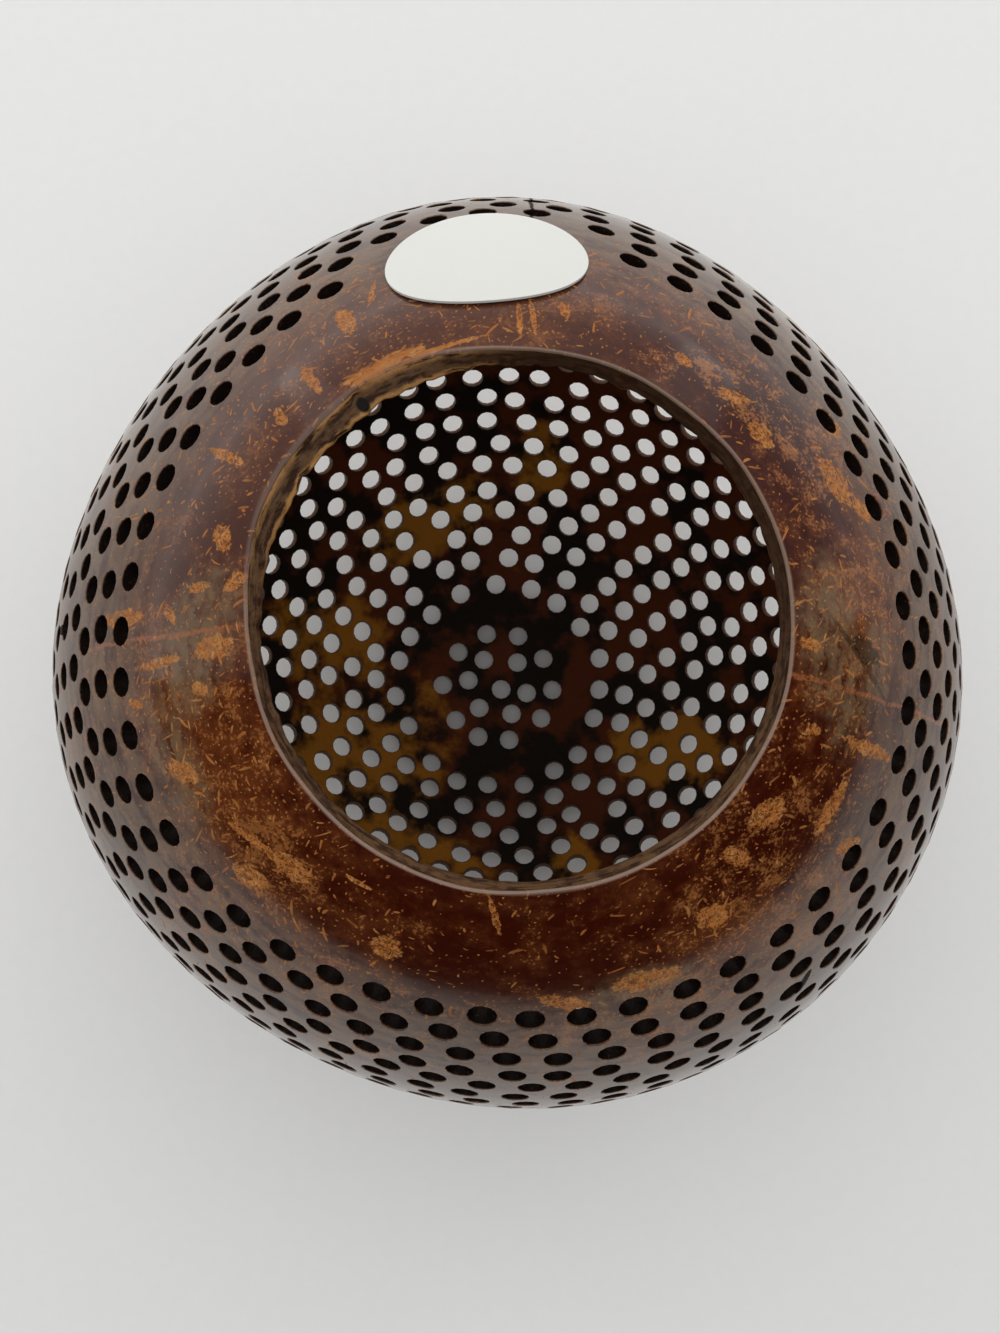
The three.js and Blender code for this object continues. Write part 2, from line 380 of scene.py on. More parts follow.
@dataclass(frozen=True)
class HolePattern:
    """The hand-drilled rows, staggered under the mouth and looser towards the bottom.

    The lengths are metres along the belly, and the angles are degrees.

    Attributes:
        diameter: across a hole.
        rounding: the worn edge at each end of a hole.
        plain_band: from the mouth's edge to the first row.
        row_pitch: from row to row.
        hole_pitch: from hole to hole in a row.
        corner_sag: how far down the rows are moved at the nut's corners.
        label_sag: how far down they are moved past the label.
        label_spread: how far to each side of the label that goes.
        level_polar: where the rows are level again.
        top_wander: how far a hole strays in the first row.
        bottom_wander: how far a hole strays at the bottom.
        least_pitch: how near each other two holes may be.
        settling_rounds: how many times those that are nearer are moved apart.
        settling_share: how much of the way in each round.
        edge_margin: the shell left between a hole and the flat's edge.
        label_margin: the shell left between a hole and the label.
    """

    diameter: float = 3.4 * MM
    rounding: float = 0.2 * MM
    plain_band: float = 19.5 * MM
    row_pitch: float = 4.4 * MM
    hole_pitch: float = 5.95 * MM
    corner_sag: float = 3.4 * MM
    label_sag: float = 4.6 * MM
    label_spread: float = 17.0
    level_polar: float = 100.0
    top_wander: float = 0.3 * MM
    bottom_wander: float = 1.0 * MM
    least_pitch: float = 4.75 * MM
    settling_rounds: int = 12
    settling_share: float = 0.35
    edge_margin: float = 0.6 * MM
    label_margin: float = 0.5 * MM

    def first_row(self, shape: NutShape) -> float:
        """Return the polar angle of the first row, in radians."""
        return shape.mouth_polar + self.plain_band / shape.belly_radius

    def sag(self, polar: float, azimuth: float, shape: NutShape, label: LabelSpot) -> float:
        """Return how far down the rows are moved at a place.

        Args:
            polar: the place's angle from the top, in radians.
            azimuth: its angle round from +X, in radians.
            shape: the nut.
            label: the label.

        Returns:
            An angle in radians.
        """
        level = math.radians(self.level_polar)
        share = max(0.0, (level - polar) / (level - self.first_row(shape)))
        corner = 1 + shape.corners.at(azimuth) / shape.corners.share
        turn = azimuth - math.radians(label.azimuth)
        aside = math.degrees(math.atan2(math.sin(turn), math.cos(turn)))
        past_label = math.exp(-((aside / self.label_spread) ** 4))
        sag = self.corner_sag / 2 * corner + self.label_sag * past_label
        return share * sag / shape.belly_radius

    def marked(self, shape: NutShape, label: LabelSpot) -> np.ndarray:
        """Return the ways to the holes as they are marked out.

        Args:
            shape: the nut.
            label: the label, past which the rows sag.

        Returns:
            Unit vectors from the belly's middle.
        """
        belly = shape.belly_radius
        start = self.first_row(shape)
        found: list[np.ndarray] = []
        turn = 0.0
        for row in range(math.ceil((math.pi - start) * belly / self.row_pitch)):
            polar = start + row * self.row_pitch / belly
            around = 2 * math.pi * math.sin(polar) * belly
            count = max(1, round(around / self.hole_pitch))
            depth = (polar - start) / (math.pi - start)
            stray = (self.top_wander + (self.bottom_wander - self.top_wander) * depth) / belly
            turn += 0.5 / count
            for hole in range(count):
                seed = row * ROW_SEEDS + hole
                azimuth = (hole / count + turn) * 2 * math.pi
                down = self.sag(polar, azimuth, shape, label) + stray * wander(seed)
                along = stray * wander(seed + 0.5) / math.sin(polar)
                found.append(ways_at(polar + down, azimuth + along))
        return np.array(found)

    def settled(self, found: np.ndarray, shape: NutShape) -> np.ndarray:
        """Move holes that are too near each other apart.

        Args:
            found: the ways to the holes.
            shape: the nut.

        Returns:
            The ways, moved.
        """
        least = self.least_pitch / shape.belly_radius
        for _ in range(self.settling_rounds):
            tree = near_tree(found)
            pushes = np.zeros_like(found)
            for index, way in enumerate(found):
                for near, other, gap in tree.find_range(way, least):
                    if other != index:
                        pushes[index] += (way - near) * ((least - gap) / gap)
            found = unit(found + pushes * self.settling_share)
        return found

    def ways(self, shape: NutShape, label: LabelSpot) -> np.ndarray:
        """Return the ways to the holes, with none under the label or across the flat's edge.

        Args:
            shape: the nut.
            label: the label.

        Returns:
            Unit vectors from the belly's middle.
        """
        found = self.settled(self.marked(shape, label), shape)
        radius = self.diameter / 2
        from_edge = (radius + self.edge_margin) / shape.flat_depth
        clear = np.abs(np.arccos(found[:, 2]) - shape.flat_polar) > from_edge
        middle, across, down = label.axes(shape)
        reach = radius + self.label_margin
        aside = found @ across * shape.belly_radius / (label.width / 2 + reach)
        rise = found @ down * shape.belly_radius / (label.height / 2 + reach)
        return found[clear & ((found @ middle < 0) | (np.hypot(aside, rise) >= 1))]


def wander(seed: float) -> float:
    """Return a repeatable number from -1 to 1 for a seed."""
    wave = math.sin(seed * WANDER_TURN) * WANDER_SPREAD
    return 2 * (wave - math.floor(wave)) - 1


def near_tree(points: np.ndarray) -> KDTree:
    """Return a tree that finds the nearest of some points.

    Args:
        points: the points, one in a row.

    Returns:
        The tree, ready for use.
    """
    tree = KDTree(len(points))
    for index, point in enumerate(points):
        tree.insert(point, index)
    tree.balance()
    return tree


# Drilling, by Geometry Nodes.


class Tree:
    """A Geometry Nodes tree that is put together one node at a time."""

    def __init__(self, name: str, inputs: dict[str, str]) -> None:
        """Start a tree.

        Args:
            name: the tree's name.
            inputs: each input's name and its socket's type, such as Float.
        """
        self.group = bpy.data.node_groups.new(name, "GeometryNodeTree")
        for label, kind in inputs.items():
            self.group.interface.new_socket(label, in_out="INPUT", socket_type=f"NodeSocket{kind}")
        self.group.interface.new_socket("Result", in_out="OUTPUT", socket_type="NodeSocketGeometry")
        self.given = self.group.nodes.new("NodeGroupInput").outputs

    def node(
        self,
        kind: str,
        settings: dict[str, object] | None = None,
        values: dict[str | int, object] | None = None,
        output: str | int = 0,
    ) -> bpy.types.NodeSocket:
        """Add a node.

        Args:
            kind: the node's type.
            settings: its properties, set first.
            values: the value or the link of each of its inputs.
            output: which of its outputs to return.

        Returns:
            That output.
        """
        node = self.group.nodes.new(kind)
        for name, value in (settings or {}).items():
            setattr(node, name, value)
        for name, value in (values or {}).items():
            if isinstance(value, bpy.types.NodeSocket):
                self.group.links.new(value, node.inputs[name])
            else:
                node.inputs[name].default_value = value
        return node.outputs[output]

    def maths(self, operation: str, *values: object) -> bpy.types.NodeSocket:
        """Return the result of a sum on numbers."""
        return self.node("ShaderNodeMath", {"operation": operation}, dict(enumerate(values)))

    def attribute(self, name: str, kind: str) -> bpy.types.NodeSocket:
        """Return a named attribute of the geometry."""
        return self.node("GeometryNodeInputNamedAttribute", {"data_type": kind}, {"Name": name})

    def finish(self, geometry: bpy.types.NodeSocket) -> None:
        """Make the result real, dress it and end the tree with it.

        Args:
            geometry: the result.
        """
        real = self.node("GeometryNodeRealizeInstances", {}, {"Geometry": geometry})
        values = {"Geometry": real, "Material": self.given["Material"]}
        dressed = self.node("GeometryNodeSetMaterial", {}, values)
        self.group.links.new(dressed, self.group.nodes.new("NodeGroupOutput").inputs[0])

    def run(self, places: bpy.types.Object, values: dict[str, object], name: str) -> bpy.types.Mesh:
        """Run the tree on an object.

        Args:
            places: the object that the tree starts from.
            values: the value of each named input.
            name: the name of the mesh.

        Returns:
            The result as a plain mesh, with the modifier removed.
        """
        modifier = places.modifiers.new(self.group.name, "NODES")
        modifier.node_group = self.group
        for item in self.group.interface.items_tree:
            if item.in_out == "INPUT" and item.name in values:
                modifier[item.identifier] = values[item.name]
        evaluated = places.evaluated_get(bpy.context.evaluated_depsgraph_get())
        mesh = bpy.data.meshes.new_from_object(evaluated)
        mesh.name = name
        places.modifiers.remove(modifier)
        return mesh


@dataclass(frozen=True)
class Drilling:
    """Drills put at every hole by Geometry Nodes, and cut from the blank.

    Attributes:
        sides: how many sides a drill has.
        overrun: how far it stands out of the wall at each end, in metres.
        end_share: past this share of its half, a point is at one of its ends.
    """

    sides: int = 12
    overrun: float = 0.3 * MM
    end_share: float = 0.6

    def tree(self) -> Tree:
        """Build the tree: drills flared at both ends, one at each point, cut from a blank.

        Returns:
            The tree.
        """
        tree = Tree(
            "drilled_holes",
            {
                "Places": "Geometry",
                "Blank": "Object",
                "Diameter": "Float",
                "Rounding": "Float",
                "Wall": "Float",
                "Overrun": "Float",
                "Material": "Material",
            },
        )
        outward = tree.attribute("outward", "FLOAT_VECTOR")
        turned = tree.node("FunctionNodeAlignRotationToVector", {"axis": "Z"}, {"Vector": outward})
        placed = tree.node(
            "GeometryNodeInstanceOnPoints",
            {},
            {"Points": tree.given["Places"], "Instance": self.drill(tree), "Rotation": turned},
        )
        square = tree.node("GeometryNodeRealizeInstances", {}, {0: placed})
        values = {0: tree.attribute("lean", "FLOAT_VECTOR"), "Scale": tree.attribute("along", "FLOAT")}
        offset = tree.node("ShaderNodeVectorMath", {"operation": "SCALE"}, values)
        drills = tree.node("GeometryNodeSetPosition", {}, {"Geometry": square, "Offset": offset})
        blank = tree.node("GeometryNodeObjectInfo", {}, {"Object": tree.given["Blank"]}, "Geometry")
        settings = {"operation": "DIFFERENCE", "solver": "MANIFOLD"}
        cut = tree.node("GeometryNodeMeshBoolean", settings, {"Mesh 1": blank, "Mesh 2": drills})
        tree.finish(cut)
        return tree

    def drill(self, tree: Tree) -> bpy.types.NodeSocket:
        """Add the drill to a tree: a rod through the wall, with a flare past each end of it.

        Args:
            tree: the tree, with its inputs.

        Returns:
            The drill, which keeps each point's height on it as an attribute.
        """
        given = tree.given
        half = tree.maths("MULTIPLY", given["Wall"], 0.5)
        reach = tree.maths("ADD", half, given["Overrun"])
        waist = tree.maths("SUBTRACT", half, given["Rounding"])
        radius = tree.maths("MULTIPLY", given["Diameter"], 0.5)
        flare = tree.maths("ADD", given["Rounding"], given["Overrun"])
        rod = tree.node(
            "GeometryNodeMeshCylinder",
            {"fill_type": "NGON"},
            {
                "Vertices": self.sides,
                "Side Segments": 3,
                "Radius": 1.0,
                "Depth": tree.maths("MULTIPLY", reach, 2.0),
            },
        )
        spot = tree.node("GeometryNodeInputPosition")
        x, y, z = tree.node("ShaderNodeSeparateXYZ", {}, {0: spot}).node.outputs
        limit = tree.maths("MULTIPLY", reach, self.end_share)
        at_end = tree.maths("GREATER_THAN", tree.maths("ABSOLUTE", z), limit)
        width = tree.maths("MULTIPLY_ADD", at_end, flare, radius)
        longer = tree.maths("SUBTRACT", reach, waist)
        tall = tree.maths("MULTIPLY_ADD", at_end, longer, waist)
        moved = tree.node(
            "ShaderNodeCombineXYZ",
            {},
            {
                "X": tree.maths("MULTIPLY", x, width),
                "Y": tree.maths("MULTIPLY", y, width),
                "Z": tree.maths("MULTIPLY", tree.maths("SIGN", z), tall),
            },
        )
        drill = tree.node("GeometryNodeSetPosition", {}, {"Geometry": rod, "Position": moved})
        values = {"Geometry": drill, "Name": "along", "Value": z}
        return tree.node("GeometryNodeStoreNamedAttribute", {"data_type": "FLOAT"}, values)


# Shader maths.


class Value:
    """A socket of a material's tree, on which Python's operators add Math nodes."""

    def __init__(self, paint: "Paint", socket: bpy.types.NodeSocket) -> None:
        """Wrap a socket of a tree."""
        self.paint = paint
        self.socket = socket

    def __add__(self, other: "Number") -> "Value":
        """Return the sum."""
        return self.paint.maths("ADD", self, other)

    __radd__ = __add__

    def __sub__(self, other: "Number") -> "Value":
        """Return the difference."""
        return self.paint.maths("SUBTRACT", self, other)

    def __rsub__(self, other: "Number") -> "Value":
        """Return the difference, taken from a number."""
        return self.paint.maths("SUBTRACT", other, self)

    def __mul__(self, other: "Number") -> "Value":
        """Return the product."""
        return self.paint.maths("MULTIPLY", self, other)

    __rmul__ = __mul__

    def __truediv__(self, other: "Number") -> "Value":
        """Return the quotient."""
        return self.paint.maths("DIVIDE", self, other)

    def __rtruediv__(self, other: "Number") -> "Value":
        """Return a number divided by this."""
        return self.paint.maths("DIVIDE", other, self)

    def __abs__(self) -> "Value":
        """Return the size without its sign."""
        return self.paint.maths("ABSOLUTE", self)


Number = Value | float


class Paint:
    """A material that is put together one node at a time."""

    def __init__(self, name: str) -> None:
        """Start a material with nothing but its output.

        Args:
            name: the material's name.
        """
        self.material = bpy.data.materials.new(name)
        self.material.use_nodes = True
        self.nodes = self.material.node_tree.nodes
        self.links = self.material.node_tree.links
        self.nodes.remove(self.nodes["Principled BSDF"])

    def node(
        self,
        kind: str,
        settings: dict[str, object] | None = None,
        values: dict[str | int, object] | None = None,
        output: str | int = 0,
    ) -> Value:
        """Add a node.

        Args:
            kind: the node's type.
            settings: its properties, set first.
            values: the value or the link of each of its inputs.
            output: which of its outputs to return.

        Returns:
            That output.
        """
        node = self.nodes.new(kind)
        for name, value in (settings or {}).items():
            setattr(node, name, value)
        for name, value in (values or {}).items():
            self.set(node.inputs[name], value)
        return Value(self, node.outputs[output])

    def set(self, socket: bpy.types.NodeSocket, value: object) -> None:
        """Link a socket to a value of the tree, or set it to a plain one.

        Args:
            socket: the socket.
            value: the value.
        """
        if isinstance(value, Value):
            self.links.new(value.socket, socket)
        else:
            socket.default_value = value

    def maths(self, operation: str, *values: "Number") -> Value:
        """Return the result of a Math node."""
        return self.node("ShaderNodeMath", {"operation": operation}, dict(enumerate(values)))

    def vector(self, operation: str, *values: object, output: str | int = 0) -> Value:
        """Return the result of a Vector Math node.

        Args:
            operation: what it does.
            values: what it works on; plain vectors are given as they are.
            output: which of its outputs to return.

        Returns:
            That output.
        """
        plain = [value if isinstance(value, Value) else tuple(value) for value in values]
        settings = {"operation": operation}
        return self.node("ShaderNodeVectorMath", settings, dict(enumerate(plain)), output)

    def dot(self, first: object, second: object) -> Value:
        """Return the dot product of two vectors."""
        return self.vector("DOT_PRODUCT", first, second, output="Value")

    def scaled(self, vector: Value, size: "Number") -> Value:
        """Return a vector times a number."""
        return self.node("ShaderNodeVectorMath", {"operation": "SCALE"}, {0: vector, "Scale": size})

    def ramp(self, value: "Number", start: float, end: float) -> Value:
        """Return a smooth step.

        Args:
            value: what the step is over.
            start: where it is 0; it may be above the end.
            end: where it is 1.

        Returns:
            A value from 0 to 1.
        """
        ends = {"From Min": start, "From Max": end}
        if start > end:
            ends = {"From Min": end, "From Max": start, "To Min": 1.0, "To Max": 0.0}
        settings = {"interpolation_type": "SMOOTHSTEP"}
        return self.node("ShaderNodeMapRange", settings, {"Value": value, **ends})

    def largest(self, *values: "Number") -> Value:
        """Return the largest of some values."""
        found = values[0]
        for value in values[1:]:
            found = self.maths("MAXIMUM", found, value)
        return found

    def mix(self, share: "Number", first: object, second: object) -> Value:
        """Return a mix of two colours.

        Args:
            share: how much of the second there is.
            first: the colour at a share of 0.
            second: the colour at a share of 1.

        Returns:
            The mixed colour.
        """
        node = self.nodes.new("ShaderNodeMix")
        node.data_type = "RGBA"
        self.set(node.inputs[0], share)
        for socket, colour in ((node.inputs[6], first), (node.inputs[7], second)):
            self.set(socket, colour if isinstance(colour, Value) else (*colour, 1.0))
        return Value(self, node.outputs[2])

    def noise(
        self, place: Value, scale: float, detail: float = 2.0, rough: float = 0.5, swirl: float = 0.0
    ) -> Value:
        """Return a noise.

        Args:
            place: where it is read.
            scale: how many lumps there are in each unit of the place.
            detail: how many finer layers it has.
            rough: how strong those are.
            swirl: how far the lumps are drawn out into curls.

        Returns:
            The noise, from about 0 to 1.
        """
        values = {"Vector": place, "Scale": scale, "Detail": detail, "Roughness": rough}
        values["Distortion"] = swirl
        return self.node("ShaderNodeTexNoise", {}, values, "Fac")

    def shaded(self, height: Value, distance: float, values: dict[str, object]) -> Value:
        """Return a surface shader.

        Args:
            height: the surface's fine relief.
            distance: how high a relief of 1 stands, in metres.
            values: the value of each of the shader's other inputs.

        Returns:
            The shader.
        """
        bump = self.node("ShaderNodeBump", {}, {"Height": height, "Distance": distance})
        return self.node("ShaderNodeBsdfPrincipled", {}, {**values, "Normal": bump})

    def finish(self, surface: Value) -> bpy.types.Material:
        """End the tree with a surface shader and return the material."""
        self.set(self.nodes["Material Output"].inputs["Surface"], surface)
        return self.material


# The shell's finish.


class Grain(Enum):
    """The shell's noises: lumps to the millimetre, finer layers, their strength and the swirl."""

    RAGGED = (0.9, 4.0, 0.6, 0.0)
    CLOUD = (0.055, 3.0, 0.55, 0.0)
    FIBRES = (2.4, 3.0, 0.6, 0.0)
    CURLS = (0.75, 2.0, 0.5, 2.2)
    MOTTLED = (0.30, 5.0, 0.68, 0.0)
    BLOTCHES = (0.11, 4.0, 0.6, 0.0)
    GRIT = (2.6, 2.0, 0.5, 0.0)
    WOBBLE = (0.25, 3.0, 0.5, 0.0)
    DENTS = (0.12, 1.0, 0.5, 0.0)


@dataclass(frozen=True)
class Tint:
    """A colour laid over what is under it, and how much of that it covers at most."""

    colour: Colour
    cover: float


@dataclass(frozen=True)
class Mark:
    """An oval place on the nut, in degrees and millimetres.

    Attributes:
        azimuth: where its middle is, round from +X.
        polar: where its middle is, down from the top.
        length: half of its length.
        width: half of its width.
        turn: its long way, in degrees from straight down towards more azimuth.
    """

    azimuth: float
    polar: float
    length: float
    width: float
    turn: float = 0.0


@dataclass(frozen=True)
class Suture:
    """A thin line that runs down the nut, in degrees and millimetres.

    Attributes:
        azimuth: where it is, round from +X.
        start: where it starts, down from the top.
        end: where it ends.
        width: half of its width.
    """

    azimuth: float
    start: float
    end: float
    width: float


@dataclass(frozen=True)
class Strokes:
    """A layer of short bent strokes of fibre, in millimetres.

    Attributes:
        pitch: how far apart they are.
        length: half the length of the longest.
        width: half the width of the widest.
        shift: moves the pattern, so that two layers differ.
        bend: how bent they are.
        shortest: the least length, as a share of the greatest.
        thinnest: the least width, as a share of the greatest.
    """

    pitch: float
    length: float
    width: float
    shift: float
    bend: float = 0.8
    shortest: float = 0.35
    thinnest: float = 0.4


class NutPaint(Paint):
    """Paint that knows where it is on the nut. Its lengths are millimetres."""

    def __init__(self, name: str, shape: NutShape, place: Vector) -> None:
        """Start the material and work out where each point is.

        Args:
            name: the material's name.
            shape: the nut.
            place: where the belly's middle is.
        """
        super().__init__(name)
        self.shape = shape
        self.made: dict[Grain, Value] = {}
        spot = self.node("ShaderNodeTexCoord", output="Object")
        self.place = self.scaled(self.vector("SUBTRACT", spot, place), 1 / MM)
        self.away = self.vector("LENGTH", self.place, output="Value")
        self.way = self.vector("NORMALIZE", self.place)
        parts = self.node("ShaderNodeSeparateXYZ", {}, {0: self.way})
        x, y, z = (Value(self, socket) for socket in parts.socket.node.outputs)
        level_squared = x * x + y * y
        self.level = self.maths("SQRT", level_squared)
        self.azimuth = self.maths("ARCTAN2", y, x)
        self.polar = self.maths("ARCCOSINE", z)
        belly, height = shape.belly_radius / MM, shape.height / MM
        plain = 1 / self.maths("SQRT", level_squared * (1 / belly**2) + z * z * (1 / height**2))
        uneven = sum(self.wave(wave) for wave in shape.waves)
        self.depth = plain * (1 + uneven * level_squared) - self.away
        self.surface = self.scaled(self.way, belly)
        self.round = (x / self.level, y / self.level)
        self.near_mouth = self.down(33.0, 31.5)

    def wave(self, wave: Wave) -> Value:
        """Return one of the nut's waves."""
        turn = self.azimuth * wave.lobes - wave.lobes * math.radians(wave.towards)
        return self.maths("COSINE", turn) * wave.share

    def down(self, start: float, end: float) -> Value:
        """Return a smooth step from 0 to 1 between two angles from the top, in degrees."""
        return self.ramp(self.polar, math.radians(start), math.radians(end))

    def facing(self, azimuth: float) -> Value:
        """Return 1 towards an azimuth in degrees, and -1 on the nut's other side."""
        return self.maths("COSINE", self.azimuth - math.radians(azimuth))

    def grain(self, kind: Grain) -> Value:
        """Return one of the finish's noises.

        Args:
            kind: which one.

        Returns:
            The noise, from about 0 to 1.
        """
        if kind not in self.made:
            self.made[kind] = self.noise(self.place, *kind.value)
        return self.made[kind]

    def streaks(self, down: "Number", detail: float = 3.0, around: float = 9.0) -> Value:
        """Return a noise that is stretched round the nut or down it.

        Args:
            down: the noise's third coordinate, which grows down the nut or through its wall.
            detail: how many finer layers it has.
            around: how many lumps there are in each radian round the nut.

        Returns:
            The noise, from about 0 to 1.
        """
        x, y = (side * around for side in self.round)
        place = self.node("ShaderNodeCombineXYZ", {}, {"X": x, "Y": y, "Z": down})
        return self.noise(place, 1.0, detail, 0.6)

    def mark(self, mark: Mark) -> Value:
        """Return how far inside an oval mark a point is.

        Args:
            mark: the mark.

        Returns:
            1 in its middle, 0 on its edge and less outside it.
        """
        middle = way_to(mark.polar, mark.azimuth)
        across, down = tangents(middle)
        turn = math.radians(mark.turn)
        long_way = down * math.cos(turn) + across * math.sin(turn)
        short_way = np.cross(middle, long_way)
        belly = self.shape.belly_radius / MM
        apart = self.vector("SUBTRACT", self.surface, middle * belly)
        along = self.dot(apart, long_way / mark.length)
        aside = self.dot(apart, short_way / mark.width)
        return 1 - (along * along + aside * aside)

    def marks(self, marks: tuple[Mark, ...]) -> Value:
        """Return how far inside the nearest of some marks a point is."""
        return self.largest(-1.0, *(self.mark(mark) for mark in marks))

    def frayed(
        self,
        marks: tuple[Mark, ...],
        fray: float,
        start: float,
        end: float,
        grain: Grain = Grain.RAGGED,
    ) -> Value:
        """Return marks with uneven edges.

        Args:
            marks: the marks.
            fray: how uneven their edges are.
            start: how far inside a mark it starts to show.
            end: how far inside it shows in full.
            grain: the noise of the edges.

        Returns:
            0 outside the marks and 1 inside them.
        """
        return self.ramp(self.marks(marks) + (self.grain(grain) - 0.5) * fray, start, end)

    def lines(self, sutures: tuple[Suture, ...]) -> Value:
        """Return 1 in the middle of some lines down the nut, and 0 outside them."""
        return self.largest(*(self.line(suture) for suture in sutures))

    def line(self, suture: Suture, fade: float = 3.0, stray: float = 1.2) -> Value:
        """Return a thin line down the nut.

        Args:
            suture: where it runs.
            fade: how long its ends are, in degrees.
            stray: how far it wanders, in millimetres.

        Returns:
            1 in its middle and 0 outside it.
        """
        turn = self.maths("SINE", self.azimuth - math.radians(suture.azimuth))
        wobble = (self.grain(Grain.WOBBLE) - 0.5) * stray
        aside = abs(turn * self.level * (self.shape.belly_radius / MM) + wobble)
        across = self.ramp(aside, suture.width, suture.width * 0.3)
        kept = self.down(suture.start - fade, suture.start) * self.down(suture.end + fade, suture.end)
        return across * kept * self.ramp(self.facing(suture.azimuth), 0.0, 0.1)

    def strokes(self, layer: Strokes) -> tuple[Value, Value]:
        """Return short bent strokes of fibre, each turned its own way.

        Args:
            layer: their sizes.

        Returns:
            How far inside a stroke a point is, and a number from 0 to 1 that is each stroke's own.
        """
        shift = (layer.shift, layer.shift, layer.shift)
        moved = self.vector("ADD", self.scaled(self.surface, 1 / layer.pitch), shift)
        cell = self.node("ShaderNodeTexVoronoi", {}, {"Vector": moved, "Scale": 1.0}, "Color")
        middle = Value(self, cell.socket.node.outputs["Position"])
        apart = self.vector("SUBTRACT", moved, middle)
        chance = self.vector("SUBTRACT", cell, (0.5, 0.5, 0.5))
        parts = self.node("ShaderNodeSeparateColor", {}, {0: cell})
        red, green, blue = (Value(self, socket) for socket in parts.socket.node.outputs)
        long_way = self.vector("NORMALIZE", self.vector("CROSS_PRODUCT", self.way, chance))
        short_way = self.vector("CROSS_PRODUCT", self.way, long_way)
        size = red * (1 - layer.shortest) + layer.shortest
        along = self.dot(apart, long_way) * (layer.pitch / layer.length) / size
        straight = self.dot(apart, short_way) * (layer.pitch / layer.width)
        bent = straight + along * along * (red + blue - 1) * layer.bend
        aside = bent / (blue * (1 - layer.thinnest) + layer.thinnest)
        return 1 - (along * along + aside * aside), green

    def tinted(self, share: Value, under: object, tint: Tint) -> Value:
        """Return a colour with a tint laid over it."""
        return self.mix(share * tint.cover, under, tint.colour)


